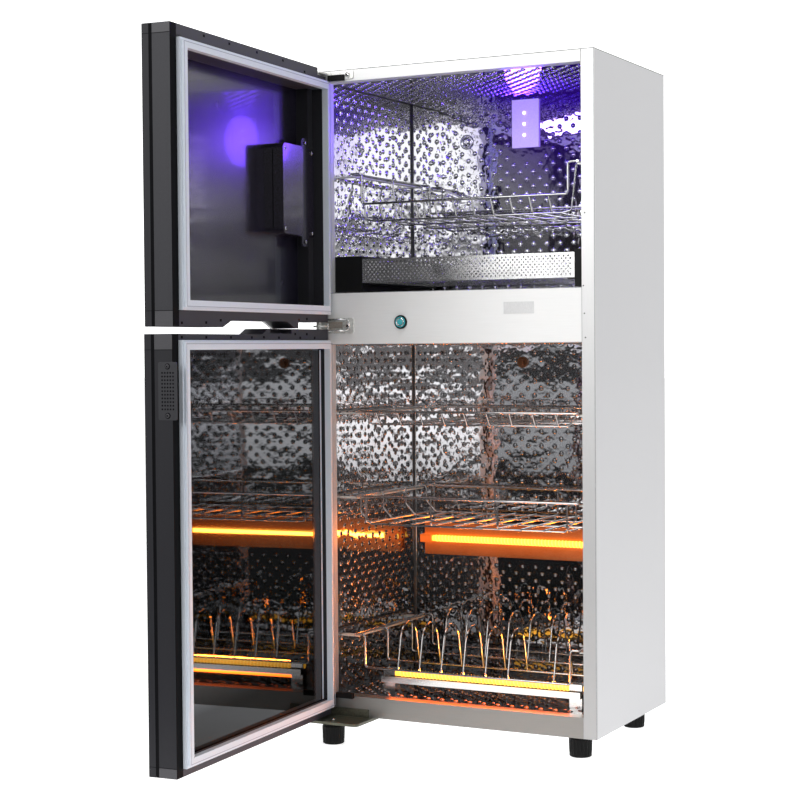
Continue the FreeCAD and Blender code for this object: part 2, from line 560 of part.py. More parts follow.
def control_box(opening):
    """A deep box on the panel, held to the hinge stile's ledge by a flange with two ears."""
    low, high = level("body_height - box_drop - box_height"), level("body_height - box_drop")
    start, plate = "(box_reach - cover_reach)", f"{LEDGE_TOP} + flange_gauge"
    root = box("BoxRoot", LEDGE_EDGE, start, UPPER_FACE, LEDGE_TOP, low, high)
    flange = rounded("BoxFlange", "Y", "-door_heel + hinge_stile + flange_gap", f"{start} + flange_corner",
                     LEDGE_TOP, plate, low, high, "flange_corner")
    ears = rounded("BoxEars", "Y", "ear_start", "ear_start + ear_width", LEDGE_TOP, plate,
                   f"{low} - ear_height", f"{high} + ear_height", "ear_corner")
    screws = [
        rod(f"BoxScrew{n}", "Y", "box_screw_radius", "box_screw_rise + flange_gauge / 2", x,
            f"{plate} - flange_gauge / 2", z)
        for n, (x, z) in enumerate((
            ("flange_screw_side", f"{high} - flange_screw_step"),
            ("flange_screw_side", f"{low} + flange_screw_step"),
            ("ear_start + ear_width / 2", f"{high} + ear_screw_step"),
            ("ear_start + ear_width / 2", f"{low} - ear_screw_step"),
        ))
    ]
    cover = rounded("ControlBoxCover", "Y", start, "box_reach", UPPER_FACE, f"{UPPER_FACE} + cover_depth",
                    low, high, "box_corner")
    cap = cut("BoxFlangeTrim", fuse("BoxBaseWhole", [root, flange, ears] + screws), [
        box("BoxCoverSpace", start, "box_reach", UPPER_FACE, f"{UPPER_FACE} + cover_depth", low, high),
    ])
    keep(swing(cap, opening), "control_box_base")
    keep(swing(cover, opening), "control_box_cover")


def vent_plate(opening):
    low, high = level("vent_low"), level("vent_high")
    plate = rounded("VentSheet", "X", DOOR_REACH, f"{DOOR_REACH} + vent_gauge", "-vent_front",
                    "-vent_front + vent_width", low, high, "plate_side_gap")
    middle = "-vent_front + vent_width / 2"
    screws = [
        rod(f"VentScrew{n}", "X", "vent_screw_radius", "2 * vent_gauge", DOOR_REACH, middle, z)
        for n, z in enumerate((f"{low} + 2 * plate_side_gap", f"{high} - 2 * plate_side_gap"))
    ]
    keep(swing(fuse("VentPlate", [plate] + screws), opening), "vent_plate")


def doors():
    rims = door_slab("upper", level("upper_door_low"), level(UPPER_DOOR_HIGH), "upper_open",
                     ("thick_cap", "thin_cap"), ("upper_sill", "upper_head"))
    door_panel("upper", rims, UPPER_FACE, "inner_gauge", "upper_open", "upper_door_panel")
    door_seal("upper", rims, "upper_open")
    control_box("upper_open")
    rims = door_slab("lower", level("lower_door_low"), level("lower_door_high"), "lower_open",
                     ("thin_cap", "thick_cap"), ("lower_sill", "lower_head"))
    door_panel("lower", rims, "(door_back - lower_recess)", "inner_glass", "lower_open",
               "lower_door_inner_glass")
    door_seal("lower", rims, "lower_open")
    vent_plate("lower_open")


# ---- wire racks, from the sheet's numbers ----

def line(start, end):
    return Part.LineSegment(start, end).toShape()


def piped(edges, radius):
    """Round wire along a smooth path."""
    path = Part.Wire(edges)
    start, along = edges[0].valueAt(edges[0].FirstParameter), edges[0].tangentAt(edges[0].FirstParameter)
    profile = Part.Wire(Part.makeCircle(radius, start, along))
    return path.makePipeShell([profile], True, False)


def wire(points, radius):
    """One round wire through the points, with each corner bent to the sheet's bend radius."""
    corners = [FreeCAD.Vector(*point) for point in points]
    bend, start, edges = number("wire_bend"), corners[0], []
    for before, corner, after in zip(corners, corners[1:], corners[2:]):
        back, on = (before - corner).normalize(), (after - corner).normalize()
        half = back.getAngle(on) / 2
        leave, enter = corner + back * (bend / math.tan(half)), corner + on * (bend / math.tan(half))
        middle = corner + (back + on).normalize() * (bend / math.sin(half) - bend)
        edges += [line(start, leave), Part.Arc(leave, middle, enter).toShape()]
        start = enter
    return piped(edges + [line(start, corners[-1])], radius)


def frame(left, right, front, back, z, radius):
    """A rectangular ring of wire, in two halves that meet beside the middle of the front and back."""
    join = (left + right) / 2 + number("ring_join")
    return [
        wire([(join, front, z), (side, front, z), (side, back, z), (join, back, z)], radius)
        for side in (left, right)
    ]


def welded(pieces):
    joined = pieces[0].multiFuse(pieces[1:]).removeSplitter()
    return joined.Solids[0] if len(joined.Solids) == 1 else joined


def spaced(low, high, count):
    return [low + (high - low) * (n + 1) / (count + 1) for n in range(count)]


def rack_box():
    """The left, right, front and back wires' centre lines, which every rack shares."""
    left = -number("body_width") / 2 + number("rack_left_gap")
    right = number("body_width") / 2 - number("rack_right_gap")
    front = -number("body_depth") / 2 + number("rack_front")
    back = number("body_depth") / 2 - number("back_space") - number("rack_rear_gap")
    return left, right, front, back


def side_rods(z):
    left, right, front, back = rack_box()
    end = number("rod_end")
    return [wire([(x, front - end, z), (x, back + end, z)], number("rail_wire")) for x in (left, right)]


def hanging_wire(y, high, low):
    """A cross wire that hangs between the two side rods."""
    left, right, front, back = rack_box()
    inset = number("raised_end")
    points = [(left, y, high), (left + inset, y, high), (left + inset, y, low)]
    points += [(right - inset, y, low), (right - inset, y, high), (right, y, high)]
    return wire(points, number("cross_wire"))


def cup_rack():
    left, right, front, back = rack_box()
    thin = number("mesh_wire")
    top = number("foot_height") + number("cup_level")
    low, slope, hook = top - number("cup_drop"), number("cup_slope"), number("wire_hook")
    over = low + number("weld_step")
    pieces = frame(left, right, front, back, top, number("rail_wire"))
    for x in spaced(left, right, int(number("cup_wires"))):
        run = [(x, front, top), (x, front + slope, low), (x, back - slope, low), (x, back, top)]
        pieces.append(wire(run, thin))
    for y in (front + slope, (front + back) / 2, back - slope):
        run = [(left, y, top), (left + hook, y, top), (left + hook + slope, y, over)]
        run += [(right - hook - slope, y, over), (right - hook, y, top), (right, y, top)]
        pieces.append(wire(run, thin))
    keep(solid("CupRack", welded(pieces)), "cup_rack")


def bowl_rack():
    left, right, front, back = rack_box()
    thin = number("mesh_wire")
    top = number("foot_height") + number("bowl_level")
    low = top - number("bowl_drop")
    over = low + number("weld_step")
    pieces = frame(left, right, front, back, top, number("rail_wire"))
    corner, inset, bend = number("bowl_corner"), number("bowl_wires_inset"), number("wire_bend")
    outer_left, outer_right = left + number("wire_hook"), right - number("wire_hook")
    bay, per_bay = (back - front) / number("bowl_bays"), int(number("wires_per_bay"))
    for y in (front + bend, front + bay, back - bay, back - bend):
        run = [(left, y, top), (outer_left, y, top), (outer_left, y, low + corner)]
        run += [(outer_left + corner, y, low), (outer_right - corner, y, low)]
        run += [(outer_right, y, low + corner), (outer_right, y, top), (right, y, top)]
        pieces.append(wire(run, thin))
    count = int(number("bowl_bays")) * per_bay
    for n in range(count + 1):
        x = left + inset + (right - left - 2 * inset) * n / count
        if n % per_bay == 0:
            run = [(x, front, top), (x, front, over), (x, back, over), (x, back, top)]
        else:
            run = [(x, front + bend / 2, over), (x, back - bend / 2, over)]
        pieces.append(wire(run, thin))
    keep(solid("BowlRack", welded(pieces)), "bowl_rack")


def plate_loop(x, start, end, low):
    """An arch of wire: two straight legs and the round top they run into."""
    radius = (end - start) / 2 - number("loop_foot")
    middle, crown = (start + end) / 2, low + number("loop_height") - radius
    reach = math.hypot(middle - start, crown - low)
    lean = math.atan2(crown - low, middle - start) - math.acos(radius / reach)
    side, rise = radius * math.cos(lean), -radius * math.sin(lean)
    feet_at = [FreeCAD.Vector(x, y, low) for y in (start, end)]
    joins = [FreeCAD.Vector(x, y, crown + rise) for y in (middle - side, middle + side)]
    arch = Part.Arc(joins[0], FreeCAD.Vector(x, middle, crown + radius), joins[1]).toShape()
    return piped([line(feet_at[0], joins[0]), arch, line(joins[1], feet_at[1])], number("mesh_wire"))


def plate_rack():
    left, right, front, back = rack_box()
    high = number("foot_height") + number("plate_level")
    low = high - number("plate_drop")
    second, third = front + number("loop_depth"), back - number("loop_depth")
    pieces = side_rods(high)
    pieces += [hanging_wire(y, high, low) for y in (front, second, third, back)]
    first, last = left + number("plate_first"), right - number("plate_last")
    bays = int(number("plate_bays"))
    for n in range(bays + 1):
        if n != int(number("plate_skipped")):
            x = first + (last - first) * n / bays
            pieces += [plate_loop(x, start, end, low) for start, end in ((front, second), (third, back))]
    keep(solid("PlateRack", welded(pieces)), "plate_rack")


def wire_basket():
    left, right, front, back = rack_box()
    thin, inset, slope = number("mesh_wire"), number("raised_end"), number("basket_slope")
    hook = number("wire_hook")
    high = number("foot_height") + number("basket_level")
    middle, low = high - number("basket_dip"), high - number("basket_drop")
    over = low + number("weld_step")
    pieces = side_rods(high)
    pieces += [hanging_wire(y, high, middle) for y in (front, back)]
    for y in (front + slope, (front + back) / 2, back - slope):
        run = [(left, y, high), (left + hook, y, high), (left + inset, y, low + 2 * thin)]
        run += [(left + inset + slope, y, low), (right - inset - slope, y, low)]
        run += [(right - inset, y, low + 2 * thin), (right - hook, y, high), (right, y, high)]
        pieces.append(wire(run, thin))
    for x in spaced(left + inset, right - inset, int(number("basket_wires"))):
        run = [(x, front, middle), (x, front + slope, over), (x, back - slope, over), (x, back, middle)]
        pieces.append(wire(run, thin))
    keep(solid("WireBasket", welded(pieces)), "wire_basket")


def rack_rails():
    """Ledges on the compartment's side walls, under the racks' side rods."""
    rails = []
    for n, word in enumerate(("basket_level", "cup_level", "bowl_level", "plate_level")):
        top = f"({level(word)} - rail_wire - rail_gap)"
        z = (f"{top} - rail_gauge", top)
        start = f"({FRONT} + rack_front + rail_end_gap)"
        end = f"({INNER_BACK} - rack_rear_gap - rail_end_gap)"
        for side, rod_x, wall in (
            ("Left", f"({LEFT} + rack_left_gap)", INNER_LEFT),
            ("Right", f"({RIGHT} - rack_right_gap)", INNER_RIGHT),
        ):
            title = f"Rail{side}{n}"
            inward, outward = ("+", "-") if side == "Left" else ("-", "+")
            inner, outer = f"{rod_x} {inward} rail_tuck", f"{rod_x} {outward} rail_width"
            edges = (outer, inner) if side == "Left" else (inner, outer)
            bar = box(title + "Bar", *edges, start, end, *z)
            arm = (wall, rod_x) if side == "Left" else (rod_x, wall)
            arms = [
                box(f"{title}Arm{m}", *arm, y, f"{y} + rail_arm", *z)
                for m, y in enumerate((start, f"({end} - rail_arm)"))
            ]
            rails.append(fuse(title, [bar] + arms))
    keep(together("RackRails", rails), "rack_rails")


def tray_and_guides():
    low, high = level("tray_low"), level("tray_high")
    x = (f"({LEFT} + tray_left)", f"({RIGHT} - tray_right)")
    y = (f"({FRONT} + tray_front)", f"({INNER_BACK} - tray_rear_gap)")
    gauge = "tray_gauge"
    pan = cut("TrayPan", box("TrayOuter", *x, *y, low, high),
              [box("TrayInner", f"{x[0]} + {gauge}", f"{x[1]} - {gauge}", f"{y[0]} + {gauge}",
                   f"{y[1]} - {gauge}", f"{low} + {gauge}", high)])
    hem = box("TrayHem", *x, y[0], f"{y[0]} + tray_hem", f"{high} - {gauge}", high)
    keep(fuse("Tray", [pan, hem]), "perforated_tray")
    guides = []
    for side, wall, edge in (("Left", INNER_LEFT, f"{x[0]} - guide_clearance"),
                             ("Right", INNER_RIGHT, f"{x[1]} + guide_clearance")):
        span = (wall, edge) if side == "Left" else (edge, wall)
        ledge = (edge, f"{edge} + 3 * tray_hem") if side == "Left" else (f"{edge} - 3 * tray_hem", edge)
        block = box(f"Guide{side}Block", *span, *y, level("guide_low"), level("guide_high"))
        shelf = box(f"Guide{side}Shelf", *ledge, *y, f"{low} - rail_gap - rail_gauge", f"{low} - rail_gap")
        guides.append(fuse(f"Guide{side}", [block, shelf]))
    keep(together("TrayGuides", guides), "tray_guides")


# ---- feet ----

def feet():
    hinge_foot = ("foot_front_left", f"{LEFT} + hinge_foot_side", f"{FRONT} - hinge_foot_forward")
    for label, x, y in (hinge_foot,) + body_feet():
        rise = "hinge_stud_rise" if label == "foot_front_left" else "stud_rise"
        name = label.title().replace("_", "")
        cap = rod(name + "Cap", "Z", "foot_radius", "foot_cap", x, y, "0")
        stud = rod(name + "Stud", "Z", "stud_radius", f"{BASE} + {rise} - foot_cap / 2", x, y, "foot_cap / 2")
        keep(fuse(name, [cap, stud]), label)


outer_panels()
front_frame()
liners()
beam_fittings()
lamp_and_sensor()
heaters()
cord_gland()
hinges()
doors()
cup_rack()
bowl_rack()
plate_rack()
wire_basket()
rack_rails()
tray_and_guides()
feet()
doc.recompute()

for thing in doc.Objects:
    if any(flag in thing.State for flag in ("Invalid", "Error")):
        raise SystemExit(f"{thing.Name} is {thing.State}")
os.makedirs("parts", exist_ok=True)
for thing in subParts:
    shape = thing.Shape
    if shape.isNull() or not shape.isValid() or not shape.Solids:
        raise SystemExit(f"{thing.Label} has no valid shape, {len(shape.Solids)} solids")
for thing in subParts:
    thing.Shape.exportStep(f"parts/{thing.Label}.step")
    print(f"{thing.Label}: {len(thing.Shape.Solids)} solid(s), {thing.Shape.Volume:.0f} mm3")
print(len(subParts), "sub-parts")
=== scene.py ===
import math
import bpy
from mathutils import Matrix, Vector


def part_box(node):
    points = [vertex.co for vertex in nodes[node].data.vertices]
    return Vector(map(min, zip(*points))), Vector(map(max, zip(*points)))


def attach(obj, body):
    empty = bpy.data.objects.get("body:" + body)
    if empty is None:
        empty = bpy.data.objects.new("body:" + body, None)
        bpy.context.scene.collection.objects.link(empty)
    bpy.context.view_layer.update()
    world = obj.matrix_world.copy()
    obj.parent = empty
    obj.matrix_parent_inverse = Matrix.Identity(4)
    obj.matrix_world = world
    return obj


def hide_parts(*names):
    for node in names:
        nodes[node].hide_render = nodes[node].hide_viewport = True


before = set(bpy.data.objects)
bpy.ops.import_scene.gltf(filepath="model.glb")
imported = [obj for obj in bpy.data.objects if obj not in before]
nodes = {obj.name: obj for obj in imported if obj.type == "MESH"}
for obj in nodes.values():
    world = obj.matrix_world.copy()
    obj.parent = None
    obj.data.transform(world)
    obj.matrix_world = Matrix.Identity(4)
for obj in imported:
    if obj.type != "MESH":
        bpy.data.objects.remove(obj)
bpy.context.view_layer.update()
print("cabinet: loaded", len(nodes), "nodes")

# places that several pieces share, in metres
cabinet = {
    "innerLeft": -0.2105, "innerRight": 0.2105, "innerBack": 0.137, "frameBack": -0.131,
    "front": -0.153, "right": 0.2305, "top": 1.036, "low": 0.036,
    "upperLow": 0.693, "upperHigh": 1.018, "lowerLow": 0.067, "lowerHigh": 0.613,
}
doorSwing = {"axis": (-0.2163, -0.1728), "upper_door": 86.5, "lower_door": 86.7}


# finishes

def startFinish(name):
    material = bpy.data.materials.new(name)
    material.use_nodes = True
    tree = material.node_tree
    shader = tree.nodes["Principled BSDF"]
    place = tree.nodes.new("ShaderNodeTexCoord")
    return material, tree, shader, place


def noiseField(tree, place, scale, stretch=(1, 1, 1), detail=4.0):
    mapping = tree.nodes.new("ShaderNodeMapping")
    mapping.inputs["Scale"].default_value = stretch
    tree.links.new(place.outputs["Object"], mapping.inputs["Vector"])
    noise = tree.nodes.new("ShaderNodeTexNoise")
    noise.inputs["Scale"].default_value = scale
    noise.inputs["Detail"].default_value = detail
    tree.links.new(mapping.outputs["Vector"], noise.inputs["Vector"])
    return noise


def tinted(tree, source, first, second):
    ramp = tree.nodes.new("ShaderNodeValToRGB")
    ramp.color_ramp.elements[0].position = 0.35
    ramp.color_ramp.elements[1].position = 0.65
    ramp.color_ramp.elements[0].color = (*first, 1)
    ramp.color_ramp.elements[1].color = (*second, 1)
    tree.links.new(source, ramp.inputs["Fac"])
    return ramp.outputs["Color"]


def bumped(tree, shader, source, strength, distance):
    bump = tree.nodes.new("ShaderNodeBump")
    bump.inputs["Strength"].default_value = strength
    bump.inputs["Distance"].default_value = distance
    tree.links.new(source, bump.inputs["Height"])
    tree.links.new(bump.outputs["Normal"], shader.inputs["Normal"])


def fade(tree, value, start, end, low, high, blend="SMOOTHSTEP"):
    reach = tree.nodes.new("ShaderNodeMapRange")
    reach.interpolation_type = blend
    for socket, number in (("From Min", start), ("From Max", end), ("To Min", low), ("To Max", high)):
        reach.inputs[socket].default_value = number
    tree.links.new(value, reach.inputs["Value"])
    return reach.outputs["Result"]


def feed(tree, socket, value):  # an output is linked to the socket, a number or colour is set on it
    if isinstance(value, bpy.types.NodeSocket):
        tree.links.new(value, socket)
    else:
        socket.default_value = value


def mixed(tree, how, share, first, second):
    blend = tree.nodes.new("ShaderNodeMix")
    blend.data_type, blend.blend_type = "RGBA", how
    for socket, value in (("Factor", share), ("A", first), ("B", second)):
        feed(tree, blend.inputs[socket], value)
    return blend.outputs["Result"]


def joined(tree, operation, first, second):
    node = tree.nodes.new("ShaderNodeMath")
    node.operation = operation
    for socket, value in zip(node.inputs, (first, second)):
        feed(tree, socket, value)
    return node.outputs[0]


def ramped(tree, value, spans, tint=(1, 1, 1)):  # spans are pairs of value and share, in rising order
    low, high = spans[0][0], spans[-1][0]
    ramp = tree.nodes.new("ShaderNodeValToRGB")
    tree.links.new(fade(tree, value, low, high, 0.0, 1.0, "LINEAR"), ramp.inputs["Fac"])
    stops = ramp.color_ramp.elements
    for n, (spot, share) in enumerate((spans[0], spans[-1], *spans[1:-1])):
        place = (spot - low) / (high - low)
        stop = stops[n] if n < 2 else stops.new(place)
        stop.position = place
        stop.color = (*(c * share for c in tint), 1)
    return ramp.outputs["Color"]


def heightFade(tree, shader, socket, strong, spans):  # a socket's value from the height above the floor
    spot = tree.nodes.new("ShaderNodeNewGeometry")
    parts = tree.nodes.new("ShaderNodeSeparateXYZ")
    tree.links.new(spot.outputs["Position"], parts.inputs[0])
    color = ramped(tree, parts.outputs["Z"], spans, strong)
    if shader.inputs[socket].is_linked:
        color = mixed(tree, "MULTIPLY", 1.0, shader.inputs[socket].links[0].from_socket, color)
    tree.links.new(color, shader.inputs[socket])


# violet light that the lamp throws on the steel round it
halo = {
    "centre": (0.045, 0.10, 1.005), "near": 0.05, "far": 0.20,
    "tint": (0.40, 0.27, 0.88, 1), "glow": (0.010, 0.0015, 0.075, 1),
}


def addHalo(tree, shader):
    spot = tree.nodes.new("ShaderNodeNewGeometry")
    away = tree.nodes.new("ShaderNodeVectorMath")
    away.operation = "DISTANCE"
    away.inputs[1].default_value = halo["centre"]
    tree.links.new(spot.outputs["Position"], away.inputs[0])
    share = fade(tree, away.outputs["Value"], halo["near"], halo["far"], 1.0, 0.0)
    plain = shader.inputs["Base Color"].links[0].from_socket
    tree.links.new(mixed(tree, "MULTIPLY", share, plain, halo["tint"]), shader.inputs["Base Color"])
    tree.links.new(mixed(tree, "MIX", share, (0, 0, 0, 1), halo["glow"]), shader.inputs["Emission Color"])
    shader.inputs["Emission Strength"].default_value = 1.0


def makeFinish(name, color, rough, metal=0.0, grain=300, stretch=(1, 1, 1), shift=0.06, bump=0.08,
               depth=0.0002, roughSpread=0.05, coat=0.0, specular=0.5, glow=None, glowPower=0.0,
               glowSpans=None, shade=None, haloed=False):
    material, tree, shader, place = startFinish(name)
    noise = noiseField(tree, place, grain, stretch)
    darker = tuple(c * (1 - shift) for c in color)
    lighter = tuple(min(1.0, c * (1 + shift)) for c in color)
    tree.links.new(tinted(tree, noise.outputs["Fac"], darker, lighter), shader.inputs["Base Color"])
    uneven = fade(tree, noise.outputs["Fac"], 0.0, 1.0, max(0.01, rough - roughSpread), rough + roughSpread,
                  "LINEAR")
    tree.links.new(uneven, shader.inputs["Roughness"])
    bumped(tree, shader, noise.outputs["Fac"], bump, depth)
    shader.inputs["Metallic"].default_value = metal
    shader.inputs["Specular IOR Level"].default_value = specular
    shader.inputs["Coat Weight"].default_value = coat
    shader.inputs["Coat Roughness"].default_value = 0.05
    if glow:
        shader.inputs["Emission Color"].default_value = (*glow, 1)
        shader.inputs["Emission Strength"].default_value = glowPower
    # a glow painted on the surface by height: painted light
    if glowSpans:
        heightFade(tree, shader, "Emission Color", glow, glowSpans)
    # the base colour darkened by height: painted shade
    if shade:
        heightFade(tree, shader, "Base Color", (1, 1, 1), shade)
    if haloed:
        addHalo(tree, shader)
    return material


# pairs of height and share of the steel's brightness: painted shade, which darkens the liner and, more
# strongly, its dimples towards the bottom in place of the dark reflections there
linerPaintedShade = ((0.06, 0.24), (0.16, 0.34), (0.34, 0.52), (0.46, 0.95), (0.62, 1.0), (0.69, 1.0), (1.03, 1.0))
dimplePaintedShade = ((0.06, 0.20), (0.16, 0.26), (0.34, 0.28), (0.46, 0.30), (0.62, 0.34), (0.69, 1.0), (1.03, 1.0))
finishes = {
    "bodyPaint": makeFinish("bodyPaint", (0.61, 0.61, 0.625), 0.42, grain=900, shift=0.012, bump=0.03,
                            coat=0.15),
    # painted shade: the stiles' steel is darker towards the bottom, where it reflects the floor
    "frameSteel": makeFinish("frameSteel", (0.86, 0.86, 0.86), 0.36, metal=0.30, grain=60,
                             stretch=(40, 40, 1), shift=0.02, bump=0.03, roughSpread=0.05,
                             shade=((0.0, 0.42), (0.25, 0.56), (0.65, 0.76), (1.04, 0.80))),
    "railSteel": makeFinish("railSteel", (0.86, 0.86, 0.85), 0.42, metal=0.08, grain=60,
                            stretch=(0.4, 40, 40), shift=0.02, bump=0.03, roughSpread=0.05),
    # a darker copy of the rail steel for the bottom rail: painted shade, where the rail reflects the floor
    "shadedSillSteel": makeFinish("shadedSillSteel", (0.25, 0.24, 0.225), 0.34, metal=0.7, grain=60,
                            stretch=(0.4, 40, 40), shift=0.03, bump=0.03, roughSpread=0.05),
    # painted shade: the liner steel is darkened towards the bottom
    "linerSteel": makeFinish("linerSteel", (0.90, 0.90, 0.92), 0.03, metal=0.98, grain=12, shift=0.04,
                             bump=0.40, depth=0.004, roughSpread=0.01, shade=linerPaintedShade, haloed=True),
    # a darker copy of the liner steel for the dimples: painted shade, darkened further towards the bottom
    "dimpleSteel": makeFinish("dimpleSteel", (0.80, 0.80, 0.83), 0.025, metal=1.0, grain=40, shift=0.04,
                              bump=0.0, roughSpread=0.005, shade=dimplePaintedShade, haloed=True),
    # painted shade for the liner's corner creases
    "foldSteel": makeFinish("foldSteel", (0.10, 0.10, 0.105), 0.30, metal=0.7, grain=200, shift=0.1,
                            bump=0.05),
    "doorGlass": makeFinish("doorGlass", (0.012, 0.012, 0.016), 0.06, grain=4, shift=0.1, bump=0.0,
                            coat=1.0, roughSpread=0.02),
    "doorPlastic": makeFinish("doorPlastic", (0.019, 0.019, 0.023), 0.50, grain=1400, shift=0.12, bump=0.10,
                              roughSpread=0.06, specular=0.22),
    "capPlastic": makeFinish("capPlastic", (0.042, 0.040, 0.051), 0.48, grain=1400, shift=0.10, bump=0.08,
                             roughSpread=0.06, specular=0.25),
    "capEnd": makeFinish("capEnd", (0.066, 0.065, 0.072), 0.46, grain=1400, shift=0.10, bump=0.08,
                         roughSpread=0.06, specular=0.3),
    # a lighter copy of the door plastic for the upper door's free-end face: painted light
    "endFace": makeFinish("endFace", (0.036, 0.036, 0.042), 0.50, grain=1400, shift=0.12, bump=0.10,
                          roughSpread=0.06, specular=0.25),
    "ventPlastic": makeFinish("ventPlastic", (0.026, 0.026, 0.031), 0.42, grain=1400, shift=0.10, bump=0.08,
                              roughSpread=0.06, specular=0.35),
    "doorPanel": makeFinish("doorPanel", (0.010, 0.008, 0.020), 0.26, grain=14, shift=0.2, bump=0.08,
                            depth=0.002, coat=0.28, roughSpread=0.04, specular=0.8),
    # painted shade: the inner glass is darker towards its bottom
    "innerGlass": makeFinish("innerGlass", (0.20, 0.205, 0.215), 0.03, metal=1.0, grain=3, shift=0.06,
                             bump=0.0, roughSpread=0.01,
                             shade=((0.04, 0.06), (0.11, 0.12), (0.17, 0.9), (0.62, 1.0))),
    "sealRubber": makeFinish("sealRubber", (0.67, 0.72, 0.79), 0.50, grain=700, shift=0.03, bump=0.06,
                             roughSpread=0.05, specular=0.3),
    # a darker copy of the seal rubber: painted shade in the seal's groove
    "sealGroove": makeFinish("sealGroove", (0.36, 0.39, 0.46), 0.55, grain=700, shift=0.03, bump=0.05),
    "boxPlastic": makeFinish("boxPlastic", (0.016, 0.014, 0.024), 0.22, grain=900, shift=0.15, bump=0.06,
                             coat=0.3, roughSpread=0.05),
    "hingeSteel": makeFinish("hingeSteel", (0.74, 0.74, 0.71), 0.30, metal=0.35, grain=260, shift=0.12,
                             bump=0.10, roughSpread=0.08),
    "bracketSteel": makeFinish("bracketSteel", (0.11, 0.11, 0.08), 0.38, metal=0.6, grain=320, shift=0.2,
                               bump=0.15, roughSpread=0.08),
    "blackPlastic": makeFinish("blackPlastic", (0.007, 0.007, 0.007), 0.45, grain=900, shift=0.2, bump=0.15,
                               roughSpread=0.08, specular=0.12),
    "buttonPlastic": makeFinish("buttonPlastic", (0.035, 0.26, 0.29), 0.22, grain=500, shift=0.08,
                                bump=0.03, coat=0.5, glow=(0.05, 0.45, 0.5), glowPower=0.25),
    "labelFilm": makeFinish("labelFilm", (0.60, 0.60, 0.60), 0.35, metal=0.3, grain=500, stretch=(6, 1, 1),
                            shift=0.1, bump=0.05),
    "lampCover": makeFinish("lampCover", (0.55, 0.48, 0.85), 0.35, grain=400, shift=0.06, bump=0.05,
                            glow=(0.58, 0.42, 1.0), glowPower=0.62),
    "lampLight": makeFinish("lampLight", (0.8, 0.8, 1.0), 0.3, grain=500, shift=0.05, bump=0.0,
                            glow=(0.70, 0.55, 1.0), glowPower=6.0),
    "sensorMetal": makeFinish("sensorMetal", (0.20, 0.10, 0.05), 0.38, metal=0.7, grain=500, shift=0.2,
                              bump=0.2),
    "heaterTube": makeFinish("heaterTube", (1.0, 0.45, 0.10), 0.2, grain=120, shift=0.1, bump=0.05,
                             glow=(1.0, 0.50, 0.05), glowPower=2.0),
    "heaterCoil": makeFinish("heaterCoil", (1.0, 0.7, 0.3), 0.3, grain=300, shift=0.1, bump=0.05,
                             glow=(1.0, 0.56, 0.07), glowPower=2.2),
    "reflectorSteel": makeFinish("reflectorSteel", (0.80, 0.79, 0.77), 0.16, metal=1.0, grain=80,
                                 stretch=(1, 20, 20), shift=0.04, bump=0.06, roughSpread=0.06),
    # painted light: the rear heater's reflector glows orange by height, brightest level with the tube, in
    # place of the heater's light on it
    "paintedHeaterGlowPlate": makeFinish("paintedHeaterGlowPlate", (0.42, 0.20, 0.09), 0.24, metal=0.8, grain=60, shift=0.05,
                            bump=0.08, glow=(1.0, 0.13, 0.006), glowPower=0.9,
                            glowSpans=((0.255, 0.06), (0.275, 0.45), (0.284, 1.0), (0.290, 1.0),
                                       (0.299, 0.45), (0.319, 0.06))),
    "rackWire": makeFinish("rackWire", (0.44, 0.44, 0.44), 0.14, metal=1.0, grain=300, shift=0.08,
                           bump=0.05, roughSpread=0.05),
    "traySteel": makeFinish("traySteel", (0.62, 0.62, 0.615), 0.22, metal=1.0, grain=50, shift=0.05,
                            bump=0.10, depth=0.001, roughSpread=0.06),
    "screwSteel": makeFinish("screwSteel", (0.70, 0.70, 0.69), 0.22, metal=1.0, grain=500, shift=0.1,
                             bump=0.08, roughSpread=0.08),
    "armSteel": makeFinish("armSteel", (0.34, 0.31, 0.27), 0.34, metal=0.4, grain=400, shift=0.15,
                           bump=0.10),
    # painted reflection of the seal on the inner glass
    "glassRim": makeFinish("glassRim", (0.50, 0.55, 0.64), 0.30, grain=400, shift=0.05, bump=0.03),
    "glassBorder": makeFinish("glassBorder", (0.010, 0.011, 0.014), 0.12, grain=400, shift=0.1, bump=0.02,
                              specular=0.3),
    "edgeDark": makeFinish("edgeDark", (0.10, 0.10, 0.10), 0.5, metal=0.3, grain=500, shift=0.1, bump=0.05),
    "edgeSoft": makeFinish("edgeSoft", (0.33, 0.33, 0.34), 0.45, metal=0.3, grain=500, shift=0.1,
                           bump=0.05),
    # painted shade for holes, slots, notches, seams and grooves
    "darkGap": makeFinish("darkGap", (0.003, 0.003, 0.004), 0.7, grain=500, shift=0.2, bump=0.05,
                          specular=0.08),
}
